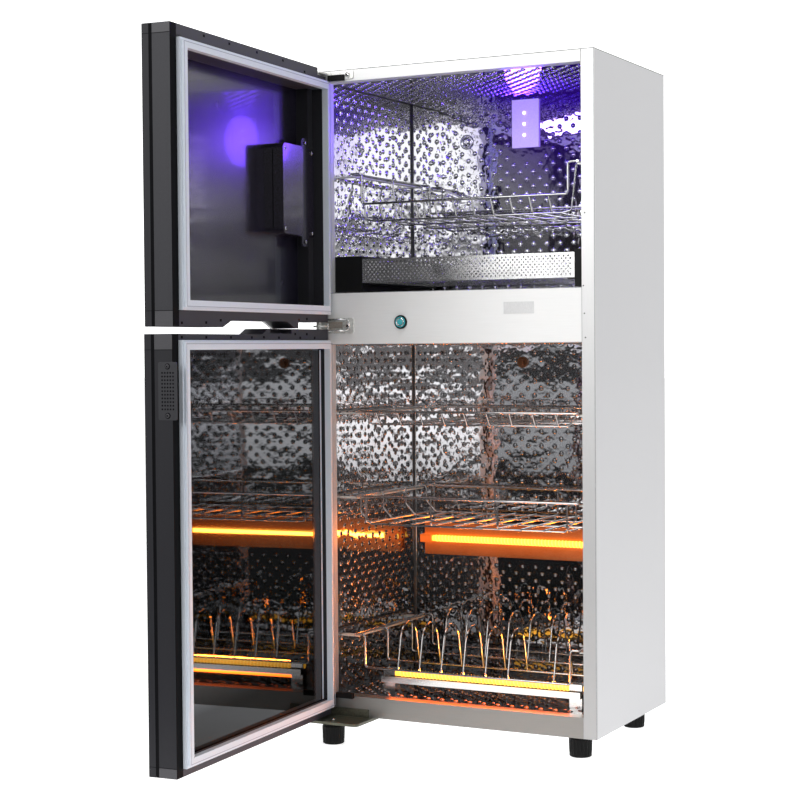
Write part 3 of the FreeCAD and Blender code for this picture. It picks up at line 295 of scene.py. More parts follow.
nodeFinish = {
    "bodyPaint": ("side_panel_left", "side_panel_right", "top_panel", "back_panel", "base_panel"),
    "frameSteel": ("front_stile_left", "front_stile_right"),
    "railSteel": ("top_rail", "control_beam"),
    "shadedSillSteel": ("bottom_rail",),
    "linerSteel": ("liner_left", "liner_right", "liner_back", "liner_ceiling", "upper_floor", "lower_ceiling",
                   "liner_floor"),
    "blackPlastic": ("button_bezel", "hinge_top_cover", "door_stop", "tray_guides", "cord_gland"),
    "buttonPlastic": ("power_button",),
    "labelFilm": ("label_plate",),
    "lampCover": ("uv_lamp_module",),
    "sensorMetal": ("temperature_sensor",),
    "heaterTube": ("front_heater_tube", "rear_heater_tube"),
    "reflectorSteel": ("front_heater_reflector",),
    "paintedHeaterGlowPlate": ("rear_heater_reflector",),
    "hingeSteel": ("hinge_top", "hinge_middle", "rack_rails"),
    "bracketSteel": ("hinge_bottom",),
    "doorGlass": ("upper_door_glass", "lower_door_glass"),
    "doorPlastic": ("upper_door_hinge_stile", "upper_door_free_stile", "lower_door_hinge_stile",
                    "lower_door_free_stile"),
    "capPlastic": ("upper_door_bottom_cap", "upper_door_top_cap", "lower_door_bottom_cap",
                   "lower_door_top_cap"),
    "ventPlastic": ("vent_plate",),
    "doorPanel": ("upper_door_panel",),
    "innerGlass": ("lower_door_inner_glass",),
    "sealRubber": ("upper_door_seal", "lower_door_seal"),
    "boxPlastic": ("control_box_base", "control_box_cover"),
    "rackWire": ("cup_rack", "bowl_rack", "plate_rack", "wire_basket"),
    "traySteel": ("perforated_tray",),
}
for finishName, names in nodeFinish.items():
    for nodeName in names:
        node = nodes[nodeName]
        node.data.materials.clear()
        node.data.materials.append(finishes[finishName])
print("finishes: set on the nodes")


# mesh helpers

def placed(name, data):
    holder = bpy.data.objects.new(name, data)
    bpy.context.collection.objects.link(holder)
    return holder


def addPiece(name, corners, faces, finish, body, slot, smooth=False):
    mesh = bpy.data.meshes.new(name)
    mesh.from_pydata([tuple(c) for c in corners], [], faces)
    mesh.validate()
    mesh.materials.append(finishes[finish])
    if smooth:
        mesh.polygons.foreach_set("use_smooth", [True] * len(mesh.polygons))
    mesh.update()
    piece = placed(name, mesh)
    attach(piece, body)
    return piece


def ringFaces(start, rows, count):  # quads between one ring of corners and the next
    faces = []
    for row in range(rows - 1):
        for n in range(count):
            a, b = start + row * count + n, start + row * count + (n + 1) % count
            faces.append((a, b, b + count, a + count))
    return faces


def scaled(profile, radius, rise=1):
    return [(radius * share, rise * height) for share, height in profile]


def turned(profile, centre, axis, count):  # a lathed shape: profile is (radius, height) along axis
    axis = Vector(axis).normalized()
    side = axis.orthogonal().normalized()
    other = axis.cross(side)
    corners = []
    for radius, height in profile:
        middle = Vector(centre) + axis * height
        for n in range(count):
            turn = 2 * math.pi * n / count
            corners.append(middle + (side * math.cos(turn) + other * math.sin(turn)) * radius)
    faces = ringFaces(0, len(profile), count)
    faces.append(tuple(range(count))[::-1])
    faces.append(tuple(range((len(profile) - 1) * count, len(profile) * count)))
    return corners, faces


def joinShapes(shapes):
    corners, faces = [], []
    for shapeCorners, shapeFaces in shapes:
        start = len(corners)
        corners += shapeCorners
        faces += [tuple(index + start for index in face) for face in shapeFaces]
    return corners, faces


def block(low, high, place=None):
    spansX, spansY, spansZ = zip(low, high)
    corners = [Vector((x, y, z)) for x in spansX for y in spansY for z in spansZ]
    if place:
        corners = [place(*corner) for corner in corners]
    faces = [(0, 1, 3, 2), (4, 6, 7, 5), (0, 4, 5, 1), (2, 3, 7, 6), (0, 2, 6, 4), (1, 5, 7, 3)]
    return corners, faces


def onDoor(door):  # u from the hinge towards the free edge, t from the slab's middle towards the cabinet
    angle = math.radians(doorSwing[door])
    hingeX, hingeY = doorSwing["axis"]

    def place(u, t, z):
        return Vector((hingeX + u * math.cos(angle) + t * math.sin(angle),
                       hingeY - u * math.sin(angle) + t * math.cos(angle), z))
    return place


def doorDirection(door, u, t, z):
    angle = math.radians(doorSwing[door])
    return Vector((u * math.cos(angle) + t * math.sin(angle), -u * math.sin(angle) + t * math.cos(angle), z))


# pressed dimples on the liner

dimples = {"across": 0.0234, "rows": 0.0118, "radius": 0.0044, "rise": 0.0021, "margin": 0.012, "sides": 10,
           "rings": ((1.0, 0.0), (0.86, 0.36), (0.60, 0.72), (0.30, 0.94)),
           "upperSkips": ((0.181, 0.240, 0.222, 0.325), (0.085, 0.121, 0.238, 0.274),
                          (0.240, 0.268, 0.262, 0.300)),
           "lowerSkips": ((0.190, 0.216, 0.500, 0.532), (0.015, 0.406, 0.186, 0.254))}


# skips are the oblongs, as left, right, low and high, where a fitting sits on the sheet
def dimpleField(name, corner, across, up, inward, width, height, skips=()):
    corner, across, up, inward = (Vector(v) for v in (corner, across, up, inward))
    sides, radius = dimples["sides"], dimples["radius"]
    rings = scaled(dimples["rings"], radius, dimples["rise"])
    corners, faces = [], []
    row, y, clear = 0, dimples["margin"], dimples["margin"] * 0.7
    while y < height - clear:
        x = dimples["margin"] + (row % 2) * dimples["across"] / 2
        while x < width - clear:
            if not any(a <= x <= b and c <= y <= d for a, b, c, d in skips):
                start = len(corners)
                centre = corner + across * x + up * y
                for r, h in rings:
                    for n in range(sides):
                        turn = 2 * math.pi * n / sides
                        spoke = across * math.cos(turn) + up * math.sin(turn)
                        corners.append(centre + spoke * r + inward * h)
                corners.append(centre + inward * dimples["rise"])
                faces += ringFaces(start, len(rings), sides)
                top, last = start + len(rings) * sides, start + (len(rings) - 1) * sides
                for n in range(sides):
                    faces.append((last + n, last + (n + 1) % sides, top))
            x += dimples["across"]
        row, y = row + 1, y + dimples["rows"]
    addPiece(name, corners, faces, "dimpleSteel", "cabinet", "liner_steel", smooth=True)


def lineWithDimples():
    left, right, back, front = (cabinet[k] for k in ("innerLeft", "innerRight", "innerBack", "frameBack"))
    depth, width = back - front, right - left
    for label in ("upper", "lower"):
        low, high = cabinet[label + "Low"], cabinet[label + "High"]
        rise = high - low
        sheets = {
            "Back": ((left, back, low), (1, 0, 0), (0, 0, 1), (0, -1, 0), width, rise,
                     dimples[label + "Skips"]),
            "Left": ((left, front, low), (0, 1, 0), (0, 0, 1), (1, 0, 0), depth, rise),
            "Right": ((right, front, low), (0, 1, 0), (0, 0, 1), (-1, 0, 0), depth, rise),
            "Ceiling": ((left, front, high), (1, 0, 0), (0, 1, 0), (0, 0, -1), width, depth),
            "Floor": ((left, front, low), (1, 0, 0), (0, 1, 0), (0, 0, 1), width, depth),
        }
        for side, sheet in sheets.items():
            dimpleField(label + side + "Dimples", *sheet)


lineWithDimples()
print("liner: dimples pressed")


# folded seams where the liner's sheets meet, with painted shade: dark strips in the corner creases and along
# the ceiling edges

folds = {"reach": 0.0024, "proud": 0.0012, "bead": 0.0006}


def foldLiner():
    left, right, back, front = (cabinet[k] for k in ("innerLeft", "innerRight", "innerBack", "frameBack"))
    reach, proud, bead = folds["reach"], folds["proud"], folds["bead"]
    for label in ("upper", "lower"):
        low, high = cabinet[label + "Low"], cabinet[label + "High"]
        dark, bright = [], []
        for x, way in ((left, 1), (right, -1)):
            corners = [(x, back - reach, low), (x, back - reach, high), (x + way * reach, back, high),
                       (x + way * reach, back, low)]
            dark.append((corners, [(0, 1, 2, 3)] if way > 0 else [(3, 2, 1, 0)]))
            spot = (x + way * (reach + bead), back - bead * 0.6, low)
            bright.append(turned([(bead, 0), (bead, high - low)], spot, (0, 0, 1), 8))
            edge = [(x, front, high - proud), (x, back, high - proud), (x + way * proud, back, high),
                    (x + way * proud, front, high)]
            dark.append((edge, [(0, 1, 2, 3)] if way < 0 else [(3, 2, 1, 0)]))
        addPiece(label + "Folds", *joinShapes(dark), "foldSteel", "cabinet", "liner_steel")
        addPiece(label + "FoldBeads", *joinShapes(bright), "screwSteel", "cabinet", "liner_steel",
                 smooth=True)


foldLiner()
print("liner: folds in")


# round boss in the upper compartment

wallBoss = {"centre": (-0.1075, 0.1368, 0.949), "radius": 0.0125, "rise": 0.004,
            "profile": ((1, 0), (0.92, 0.35), (0.80, 0.45), (0.66, 0.25), (0.52, 0.30), (0.45, 0.9),
                        (0.22, 1), (0.05, 0.95))}
bossShape = turned(scaled(wallBoss["profile"], wallBoss["radius"], wallBoss["rise"]), wallBoss["centre"],
                   (0, -1, 0), 32)
addPiece("wallBoss", *bossShape, "dimpleSteel", "cabinet", "liner_steel", smooth=True)


# perforated tray

tray = {
    "left": -0.163, "right": 0.1899, "front": -0.129, "back": 0.109, "low": 0.7085, "high": 0.7455,
    "across": 0.007, "rows": 0.0035, "hole": 0.0015, "gauge": 0.0008, "border": 0.003, "bead": 0.0013,
    "floorUp": 0.0005,
}


def perforate(corner, across, up, width, height, gauge):
    corner, across, up = (Vector(v) for v in (corner, across, up))
    inward = across.cross(up)
    border, hole = tray["border"], tray["hole"]
    columns = int((width - 2 * border) / tray["across"])
    rows = int((height - 2 * border) / tray["rows"])
    stepX, stepY = (width - 2 * border) / columns, (height - 2 * border) / rows
    shapes, corners, faces = [], [], []
    square = ((0.5, 0), (0.5, 0.5), (0, 0.5), (-0.5, 0.5), (-0.5, 0), (-0.5, -0.5), (0, -0.5), (0.5, -0.5))

    def at(x, y, layer):
        return corner + across * x + up * y + inward * (gauge * layer)

    layers = (0, 1) if gauge else (0,)
    for row in range(rows):
        shift = 0.5 * (row % 2)
        for column in range(columns - (row % 2)):
            middleX, middleY = border + (column + 0.5 + shift) * stepX, border + (row + 0.5) * stepY
            for layer in layers:
                start = len(corners)
                corners += [at(middleX + a * stepX, middleY + b * stepY, layer) for a, b in square]
                for n in range(8):
                    offX, offY = hole * math.cos(math.pi * n / 4), hole * math.sin(math.pi * n / 4)
                    corners.append(at(middleX + offX, middleY + offY, layer))
                for n in range(8):
                    a, b = start + n, start + (n + 1) % 8
                    face = (a, b, b + 8, a + 8)
                    faces.append(face if layer else face[::-1])
            if gauge:
                inner = len(corners) - 8
                for n in range(8):
                    a, b = inner + n, inner + (n + 1) % 8
                    faces.append((a, b, b - 16, a - 16))
        if row % 2:
            for x0 in (border, width - border - stepX / 2):
                y0 = border + row * stepY
                shapes.append(sheetPatch(at, x0, x0 + stepX / 2, y0, y0 + stepY, layers))
    margins = ((0, width, 0, border), (0, width, height - border, height),
               (0, border, border, height - border), (width - border, width, border, height - border))
    for x0, x1, y0, y1 in margins:
        shapes.append(sheetPatch(at, x0, x1, y0, y1, layers))
    return joinShapes([(corners, faces)] + shapes)


def sheetPatch(at, x0, x1, y0, y1, layers):
    corners, faces = [], []
    for layer in layers:
        start = len(corners)
        corners += [at(x, y, layer) for x, y in ((x0, y0), (x1, y0), (x1, y1), (x0, y1))]
        faces.append(tuple(start + n for n in ((0, 1, 2, 3) if layer else (3, 2, 1, 0))))
    return corners, faces


def rolledEdge(points, radius, overlap=0.6):  # a closed run of rods that reach a little into each other
    shapes = []
    for start, end in zip(points, points[1:] + points[:1]):
        run = Vector(end) - Vector(start)
        past = radius * overlap
        shapes.append(turned([(radius, -past), (radius, run.length + past)], start, run, 8))
    return joinShapes(shapes)


def makeTray():
    x0, x1, y0, y1, z0, z1 = (tray[k] for k in ("left", "right", "front", "back", "low", "high"))
    width, depth, height = x1 - x0, y1 - y0, z1 - z0
    gauge = tray["gauge"]
    panels = [
        perforate((x0, y0, z0), (1, 0, 0), (0, 0, 1), width, height, -gauge),
        perforate((x0, y1, z0), (1, 0, 0), (0, 0, 1), width, height, 0),
        perforate((x0, y0, z0), (0, 1, 0), (0, 0, 1), depth, height, 0),
        perforate((x1, y0, z0), (0, 1, 0), (0, 0, 1), depth, height, 0),
        perforate((x0, y0, z0 + tray["floorUp"]), (1, 0, 0), (0, 1, 0), width, depth, 0),
    ]
    piece = addPiece("slideTray", *joinShapes(panels), "traySteel", "perforated_tray", "tray_steel")
    r = tray["bead"]
    rim = [(x0 + r, y0 + r, z1 - r), (x1 - r, y0 + r, z1 - r), (x1 - r, y1 - r, z1 - r),
           (x0 + r, y1 - r, z1 - r)]
    addPiece("slideTrayRim", *rolledEdge(rim, r), "traySteel", "perforated_tray", "tray_steel", smooth=True)
    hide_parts("perforated_tray")


makeTray()
print("tray: perforated")


# feet with moulded ribs and threaded studs

foot = {
    "radius": 0.0175, "ribs": 20, "ribDepth": 0.0011, "height": 0.029,
    # share of the radius, height, share of the ribs' depth
    "levels": ((0.86, 0.0, 0), (0.95, 0.0012, 0), (0.95, 0.005, 0.5), (0.97, 0.008, 1), (1.0, 0.024, 1),
               (1.0, 0.0265, 0.2), (0.93, 0.029, 0), (0.35, 0.029, 0)),
    "stud": 0.004, "thread": 0.0003, "pitch": 0.001, "crest": 0.0005, "runOut": 0.0006,
}


def makeFoot(name, x, y, top):
    count = foot["ribs"] * 4
    corners = []
    for share, height, ribbing in foot["levels"]:
        for n in range(count):
            turn = 2 * math.pi * n / count
            groove = 0 if n % 4 in (0, 1) else foot["ribDepth"] * ribbing
            radius = foot["radius"] * share - groove
            corners.append(Vector((x + radius * math.cos(turn), y + radius * math.sin(turn), height)))
    faces = ringFaces(0, len(foot["levels"]), count)
    faces.append(tuple(range(count))[::-1])
    profile = []
    root, height = foot["stud"] - foot["thread"], foot["height"] - foot["pitch"]
    while height < top - foot["runOut"]:
        profile += [(root, height), (foot["stud"], height + foot["crest"])]
        height += foot["pitch"]
    profile.append((root, top))
    sleeve = addPiece(name + "Sleeve", corners, faces, "blackPlastic", "cabinet", "black_plastic")
    stud = turned(profile, (x, y, 0), (0, 0, 1), 20)
    addPiece(name + "Stud", *stud, "screwSteel", "cabinet", "hinge_steel", smooth=True)
    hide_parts(name)


for footName in ("foot_front_left", "foot_front_right", "foot_rear_left", "foot_rear_right"):
    footLow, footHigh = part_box(footName)
    makeFoot(footName, (footLow[0] + footHigh[0]) / 2, (footLow[1] + footHigh[1]) / 2, footHigh[2])
print("feet: ribbed")


# screws

screw = {
    "slot": 0.16, "reach": 0.62, "dome": 0.34, "sunk": 0.5, "proud": 1.04,
    "profile": ((1, 0), (0.97, 0.35), (0.78, 0.75), (0.45, 0.96), (0.1, 1)),
    "hinge": (("topHingeScrew", (-0.1713, -0.1573, 1.0275)), ("middleHingeScrew", (-0.1743, -0.1573, 0.642))),
    "box": ((0.011, -0.0038, 0.9065), (0.011, -0.0038, 0.784), (0.033, -0.0038, 0.9205),
            (0.033, -0.0038, 0.770), (0.1148, 0.004, 0.9045), (0.1148, 0.004, 0.786)),
    "vent": ((0.4506, 0.0025, 0.520), (0.4506, 0.0025, 0.585)), "hingeRadius": 0.0036, "radius": 0.0028,
}


def addScrew(name, centre, outward, radius, body, finish="screwSteel"):
    dome = radius * screw["dome"]
    head = turned(scaled(screw["profile"], radius, dome), centre, outward, 20)
    addPiece(name, *head, finish, body, "hinge_steel", smooth=True)
    outward = Vector(outward).normalized()
    side = outward.orthogonal().normalized()
    other = outward.cross(side)
    shapes = []
    for long, short in ((side, other), (other, side)):
        half, thin = long * (radius * screw["reach"]), short * (radius * screw["slot"])
        base = Vector(centre) + outward * dome * screw["sunk"]
        rise = outward * dome * (screw["proud"] - screw["sunk"])
        corners = [base + half + thin, base - half + thin, base - half - thin, base + half - thin]
        corners += [corner + rise for corner in corners]
        shapes.append((corners, [(4, 5, 6, 7), (0, 1, 5, 4), (1, 2, 6, 5), (2, 3, 7, 6), (3, 0, 4, 7),
                                 (3, 2, 1, 0)]))
    # the slot drawn as a dark raised cross: painted shade
    addPiece(name + "Cross", *joinShapes(shapes), "darkGap", body, "black_plastic")


def placeScrews():
    for name, spot in screw["hinge"]:
        addScrew(name, spot, (0, -1, 0), screw["hingeRadius"], "cabinet")
    for key, door, facing, finish in (("box", "upper_door", (0, 1, 0), "screwSteel"),
                                      ("vent", "lower_door", (1, 0, 0), "capEnd")):
        place, outward = onDoor(door), doorDirection(door, *facing)
        for n, spot in enumerate(screw[key]):
            addScrew(f"{key}Screw{n}", place(*spot), outward, screw["radius"], door, finish)


placeScrews()
print("screws: in")


# small holes, rings and slots drawn as dark marks: painted shade

def pips(name, places, radius, outward, body, depth=0.0003):
    shapes = [turned([(radius, 0), (radius * 0.9, depth)], place, outward, 10) for place in places]
    addPiece(name, *joinShapes(shapes), "darkGap", body, "black_plastic")


ventHoles = {"columns": 5, "rows": 11, "across": 0.0042, "up": 0.0048, "radius": 0.0013,
             "centre": (0.4498, 0.0025, 0.5525), "screwRing": 0.0041}


def drillVent():
    place = onDoor("lower_door")
    outward = doorDirection("lower_door", 1, 0, 0)
    u, t, z = ventHoles["centre"]
    columns, rows = ventHoles["columns"], ventHoles["rows"]
    holes = [
        place(u, t + (column - (columns - 1) / 2) * ventHoles["across"],
              z + (row - (rows - 1) / 2) * ventHoles["up"])
        for column in range(columns) for row in range(rows)
    ]
    pips("ventHoles", holes, ventHoles["radius"], outward, "lower_door")
    rings = [place(u, t, spot[2]) for spot in screw["vent"]]
    pips("ventScrewRings", rings, ventHoles["screwRing"], outward, "lower_door")


drillVent()

# notches in the caps, drawn as dark blocks: painted shade
capNotches = {
    "half": (0.0024, 0.0017), "face": (0.0091, 0.0096),
    "upperBottom": ((0.440, 0.6425), (0.426, 0.6425), (0.362, 0.6435), (0.322, 0.6470), (0.086, 0.650),
                    (0.060, 0.652)),
    "lowerTop": ((0.424, 0.6235), (0.360, 0.6235), (0.292, 0.6235), (0.232, 0.6235), (0.196, 0.6240),
                 (0.150, 0.6235), (0.098, 0.6290), (0.082, 0.6235), (0.060, 0.6290), (0.034, 0.6235)),
    "upperTop": ((0.435, 1.031), (0.36, 1.031), (0.29, 1.031), (0.21, 1.031), (0.13, 1.031), (0.06, 1.024)),
}


def notchCaps():
    halfU, halfZ = capNotches["half"]
    near, far = capNotches["face"]
    for key, door in (("upperBottom", "upper_door"), ("upperTop", "upper_door"), ("lowerTop", "lower_door")):
        place = onDoor(door)
        shapes = [
            block((u - halfU, near, z - halfZ), (u + halfU, far, z + halfZ), place)
            for u, z in capNotches[key]
        ]
        addPiece(key + "Notches", *joinShapes(shapes), "darkGap", door, "black_plastic")


notchCaps()
frontHoles = {"spots": ((0.2155, 0.800), (0.2130, 0.695), (0.2145, 0.655), (0.2160, 0.620)), "radius": 0.0011}
stileSpots = [(x, cabinet["front"], z) for x, z in frontHoles["spots"]]
pips("stileHoles", stileSpots, frontHoles["radius"], (0, -1, 0), "cabinet")
print("holes: drilled")


# painted shade lines in the seams where the door's caps meet its stiles

doorSeams = {"gap": 0.0007, "u": (0.4475, 0.4496), "bands": ((-0.0332, -0.0228), (-0.0176, 0.0094)),
             "upper": (0.6585, 1.0229), "lower": (0.0516, 0.607)}


def markSeams():
    half, (u0, u1) = doorSeams["gap"] / 2, doorSeams["u"]
    for side in ("upper", "lower"):
        door = side + "_door"
        place = onDoor(door)
        shapes = [
            block((u0, t0, z - half), (u1, t1, z + half), place)
            for z in doorSeams[side] for t0, t1 in doorSeams["bands"]
        ]
        addPiece(side + "CapSeams", *joinShapes(shapes), "darkGap", door, "black_plastic")


markSeams()


# strips along each door's free edge; the groove and margin strips are painted shade

freeEdge = {
    "trim": ((0.4440, 0.4494), (-0.0333, -0.0228)), "groove": ((0.4470, 0.44925), (-0.0228, -0.0176)),
    "face": ((0.4485, 0.4493), (-0.0176, 0.0094)), "margin": ((0.4332, 0.4489), (0.0091, 0.0097)),
    # the upper door's face strip takes a lighter copy of the door plastic: painted light
    "upper_door": (0.638, 1.0365, 0.6585, 1.0229, "endFace"),
    "lower_door": (0.038, 0.628, 0.0516, 0.607, "doorPlastic"),
}


def stripEdges():
    for door in ("upper_door", "lower_door"):
        place = onDoor(door)
        key = door.replace("_", "")
        low, high, capLow, capHigh, faceFinish = freeEdge[door]
        spans = (("trim", "doorPlastic", low, high), ("groove", "darkGap", low, high),
                 ("margin", "darkGap", low, high), ("face", faceFinish, capLow, capHigh))
        for part, finish, z0, z1 in spans:
            (u0, u1), (t0, t1) = freeEdge[part]
            strip = block((u0, t0, z0), (u1, t1, z1), place)
            addPiece(key + part.title(), *strip, finish, door, "black_plastic")
        (u0, u1), (t0, t1) = freeEdge["face"]
        ends = [block((u0, t0, low), (u1, t1, capLow), place),
                block((u0, t0, capHigh), (u1, t1, high), place)]
        addPiece(key + "CapEnds", *joinShapes(ends), "capEnd", door, "black_plastic")


stripEdges()


# painted shade lines along the groove round each seal

sealGroove = {"outer": 0.433, "inner": -0.0118, "inset": 0.0044, "width": 0.0010, "face": (0.0190, 0.01935)}


def grooveSeals():
    inset, width = sealGroove["inset"], sealGroove["width"]
    near, far = sealGroove["face"]
    for door in ("upper_door", "lower_door"):
        low, high = (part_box(door + "_seal")[n][2] for n in (0, 1))
        u0, u1, z0, z1 = sealGroove["inner"] + inset, sealGroove["outer"] - inset, low + inset, high - inset
        place = onDoor(door)
        lines = [
            block((u0, near, z0), (u0 + width, far, z1), place),
            block((u1 - width, near, z0), (u1, far, z1), place),
            block((u0, near, z0), (u1, far, z0 + width), place),
            block((u0, near, z1 - width), (u1, far, z1), place),
        ]
        addPiece(door.replace("_", "") + "SealGroove", *joinShapes(lines), "sealGroove", door, "seal_rubber")


grooveSeals()


# printed border and bright rim on the lower door's inner glass, hinge side; the rim is a painted reflection
# of the seal in the glass

glassSide = {"face": (0.0038, 0.00415), "rim": (0.0030, 0.0080), "border": (0.0080, 0.0360), "clear": 0.002}


def edgeGlass():
    place = onDoor("lower_door")
    near, far = glassSide["face"]
    low, high = (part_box("lower_door_inner_glass")[n][2] for n in (0, 1))
    clear = glassSide["clear"]
    for name, part, finish in (("innerGlassSealReflection", "rim", "glassRim"),
                               ("innerGlassBorder", "border", "glassBorder")):
        u0, u1 = glassSide[part]
        shape = block((u0, near, low + clear), (u1, far, high - clear), place)
        addPiece(name, *shape, finish, "lower_door", "inner_glass")


edgeGlass()


# painted shade line along the parting line round the control box

boxSeam = {"u": (0.1216, 0.1223), "t": (-0.0140, -0.0128), "z": (0.7865, 0.904)}
seamShape = block(*zip(boxSeam["u"], boxSeam["t"], boxSeam["z"]), onDoor("upper_door"))
addPiece("boxSeam", *seamShape, "darkGap", "upper_door", "black_plastic")


# pressed rim and slot on the middle hinge's arm

arm = {"left": -0.2105, "right": -0.1698, "low": 0.6330, "high": 0.6530, "face": -0.1572, "rim": 0.0012,
       "round": 0.0095, "slot": ((-0.2080, -0.1577, 0.6385), (-0.1835, -0.1570, 0.6480))}


def pressArm():
    x0, x1, z0, z1, r, bend = (arm[k] for k in ("left", "right", "low", "high", "rim", "round"))
    y = arm["face"]
    middle, inner = x1 - bend, bend - r
    turns = [math.pi * n / 8 for n in (1, 2, 3)]
    path = [(x0 + r, y, z0 + r), (middle, y, z0 + r)]
    path += [(middle + inner * math.sin(turn), y, z0 + bend - inner * math.cos(turn)) for turn in turns]
    path += [(x1 - r, y, z0 + bend), (x1 - r, y, z1 - bend)]
    path += [(middle + inner * math.cos(turn), y, z1 - bend + inner * math.sin(turn)) for turn in turns]
    path += [(middle, y, z1 - r), (x0 + r, y, z1 - r)]
    addPiece("armRim", *rolledEdge(path, r), "screwSteel", "cabinet", "hinge_steel", smooth=True)
    addPiece("armSlot", *block(*arm["slot"]), "armSteel", "cabinet", "hinge_steel")


pressArm()
print("edges: stripped, grooved and pressed")


# thin shadow lines where the cabinet's sheets meet

sheetEdges = {"gap": 0.0008, "proud": 0.00015}


def lineEdges():
    gap, proud = sheetEdges["gap"], sheetEdges["proud"]
    front, side, top, inner = (cabinet[k] for k in ("front", "right", "top", "innerRight"))
    low, beamLow, beamHigh = cabinet["low"], cabinet["lowerHigh"], cabinet["upperLow"]
    dark = [
        block((-side, front - proud, top - gap), (side, front + gap, top + proud)),
        block((side - gap, front + gap, top - gap), (side + proud, -front, top + proud)),
        block((inner - gap / 2, front - proud, cabinet["upperHigh"]), (inner + gap / 2, front + gap, top)),
    ]
    soft = [
        block((side - gap, front - proud, low), (side + proud, front + gap, top - gap)),
        block((inner - gap / 2, front - proud, beamLow), (inner + gap / 2, front + gap, beamHigh)),
        block((-inner, front - proud, beamHigh - gap), (inner, front + gap, beamHigh)),
        block((-inner, front - proud, beamLow), (inner, front + gap, beamLow + gap)),
        block((inner - gap / 2, front - proud, low), (inner + gap / 2, front + gap, cabinet["lowerLow"])),
    ]
    addPiece("topEdges", *joinShapes(dark), "edgeDark", "cabinet", "liner_steel")
    addPiece("sheetEdges", *joinShapes(soft), "edgeSoft", "cabinet", "liner_steel")


lineEdges()


# lamp: three lights behind domed lenses

lampLights = {"x": -0.0002, "face": 0.129, "heights": (0.9895, 0.9715, 0.9535), "radius": 0.0026,
              "lens": ((1, -0.0004), (0.92, 0.0008), (0.7, 0.0018), (0.35, 0.0025), (0.08, 0.0027))}
lenses = [
    turned(scaled(lampLights["lens"], lampLights["radius"]), (lampLights["x"], lampLights["face"], z),
           (0, -1, 0), 16)
    for z in lampLights["heights"]
]
addPiece("lampLights", *joinShapes(lenses), "lampLight", "cabinet", "lamp_metal", smooth=True)


# heater coils: a bright winding on each glowing tube

coil = {"radius": 0.0052, "wire": 0.0007, "pitch": 0.006, "end": 0.024, "points": 10}


def windHeaters():
    for name in ("front_heater_tube", "rear_heater_tube"):
        low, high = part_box(name)
        y, z = (low[1] + high[1]) / 2, (low[2] + high[2]) / 2
        start, end = low[0] + coil["end"], high[0] - coil["end"]
        curve = bpy.data.curves.new(name.replace("_tube", "_coil"), "CURVE")
        curve.dimensions = "3D"
        curve.bevel_depth = coil["wire"]
        curve.bevel_resolution = 1
        last = int((end - start) / coil["pitch"]) * coil["points"]
        spline = curve.splines.new("POLY")
        spline.points.add(last)
        for n in range(last + 1):
            turn = 2 * math.pi * n / coil["points"]
            x = start + (end - start) * n / last
            spline.points[n].co = (x, y + coil["radius"] * math.cos(turn),
                                   z + coil["radius"] * math.sin(turn), 1)
        curve.materials.append(finishes["heaterCoil"])
        winding = placed(curve.name, curve)
        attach(winding, "cabinet")


windHeaters()
print("lamp and heaters: lit")


# button ring and cap

button = {
    "centre": (-0.0838, -0.157, 0.6465),
    "ring": ((0.0069, 0), (0.0067, 0.0004), (0.0058, 0.0006), (0.0049, 0.0004), (0.0047, 0)),
    "cap": ((0.0049, 0.0001), (0.0046, 0.0005), (0.0029, 0.0009), (0.00058, 0.001)),
}
for part, finish in (("ring", "screwSteel"), ("cap", "buttonPlastic")):
    addPiece("button" + part.title(), *turned(button[part], button["centre"], (0, -1, 0), 32), finish,
             "power_button", "button_plastic", smooth=True)


# floor, lights and camera

studio = {
    "floorColor": (0.80, 0.80, 0.80), "floorGlow": 0.80, "floorFront": -0.85, "floorReach": 30.0,
    "skyFront": 1.3, "skyRest": 0.05, "skyBehind": (0.25, 0.55), "screenSide": (0.72, 0.88),
    # pairs of height in the sky and brightness
    "screens": ((-0.2, 0.05), (-0.075, 0.05), (-0.055, 0.95), (-0.030, 0.95), (-0.012, 0.08), (0.050, 0.16),
                (0.085, 0.95), (0.24, 1.0), (0.34, 0.05), (0.6, 0.05)),
    # place, power and size
    "key": ((-0.9, -3.4, 2.0), 74, 2.0), "side": ((3.2, -1.6, 1.5), 20, 1.6),
    "above": ((0.2, -0.8, 3.2), 34, 1.4),
    "lampPower": 0.34, "lampSize": (0.065, 0.090), "lampOff": 0.004, "lampAhead": (0, -1, -0.1),
    "lampColor": (0.16, 0.055, 1.0),
    # direction and power
    "heaters": (("front_heater_tube", (0, -0.6, 1), 1.15), ("rear_heater_tube", (0, -1, 0), 0.3)),
    "heaterOff": 0.0065, "heaterEnds": 0.05, "heaterThick": 0.006, "heaterColor": (1.0, 0.22, 0.02),
    "panSpot": (-0.1135, 0.0835), "panEnds": 0.03, "panThick": 0.006, "panAhead": (0, -1, -0.6),
    "panPower": 0.16, "panColor": (1.0, 0.13, 0.008),
}


def areaLight(name, spot, power, size, target=(0, -0.1, 0.55), color=(1, 1, 1), shape="RECTANGLE"):
    light = bpy.data.lights.new(name, "AREA")
    light.energy, light.color = power, color
    if isinstance(size, tuple):
        light.shape = shape
        light.size, light.size_y = size
    else:
        light.size = size
    holder = placed(name, light)
    holder.location = spot
    holder.rotation_euler = (Vector(target) - Vector(spot)).to_track_quat("-Z", "Y").to_euler()


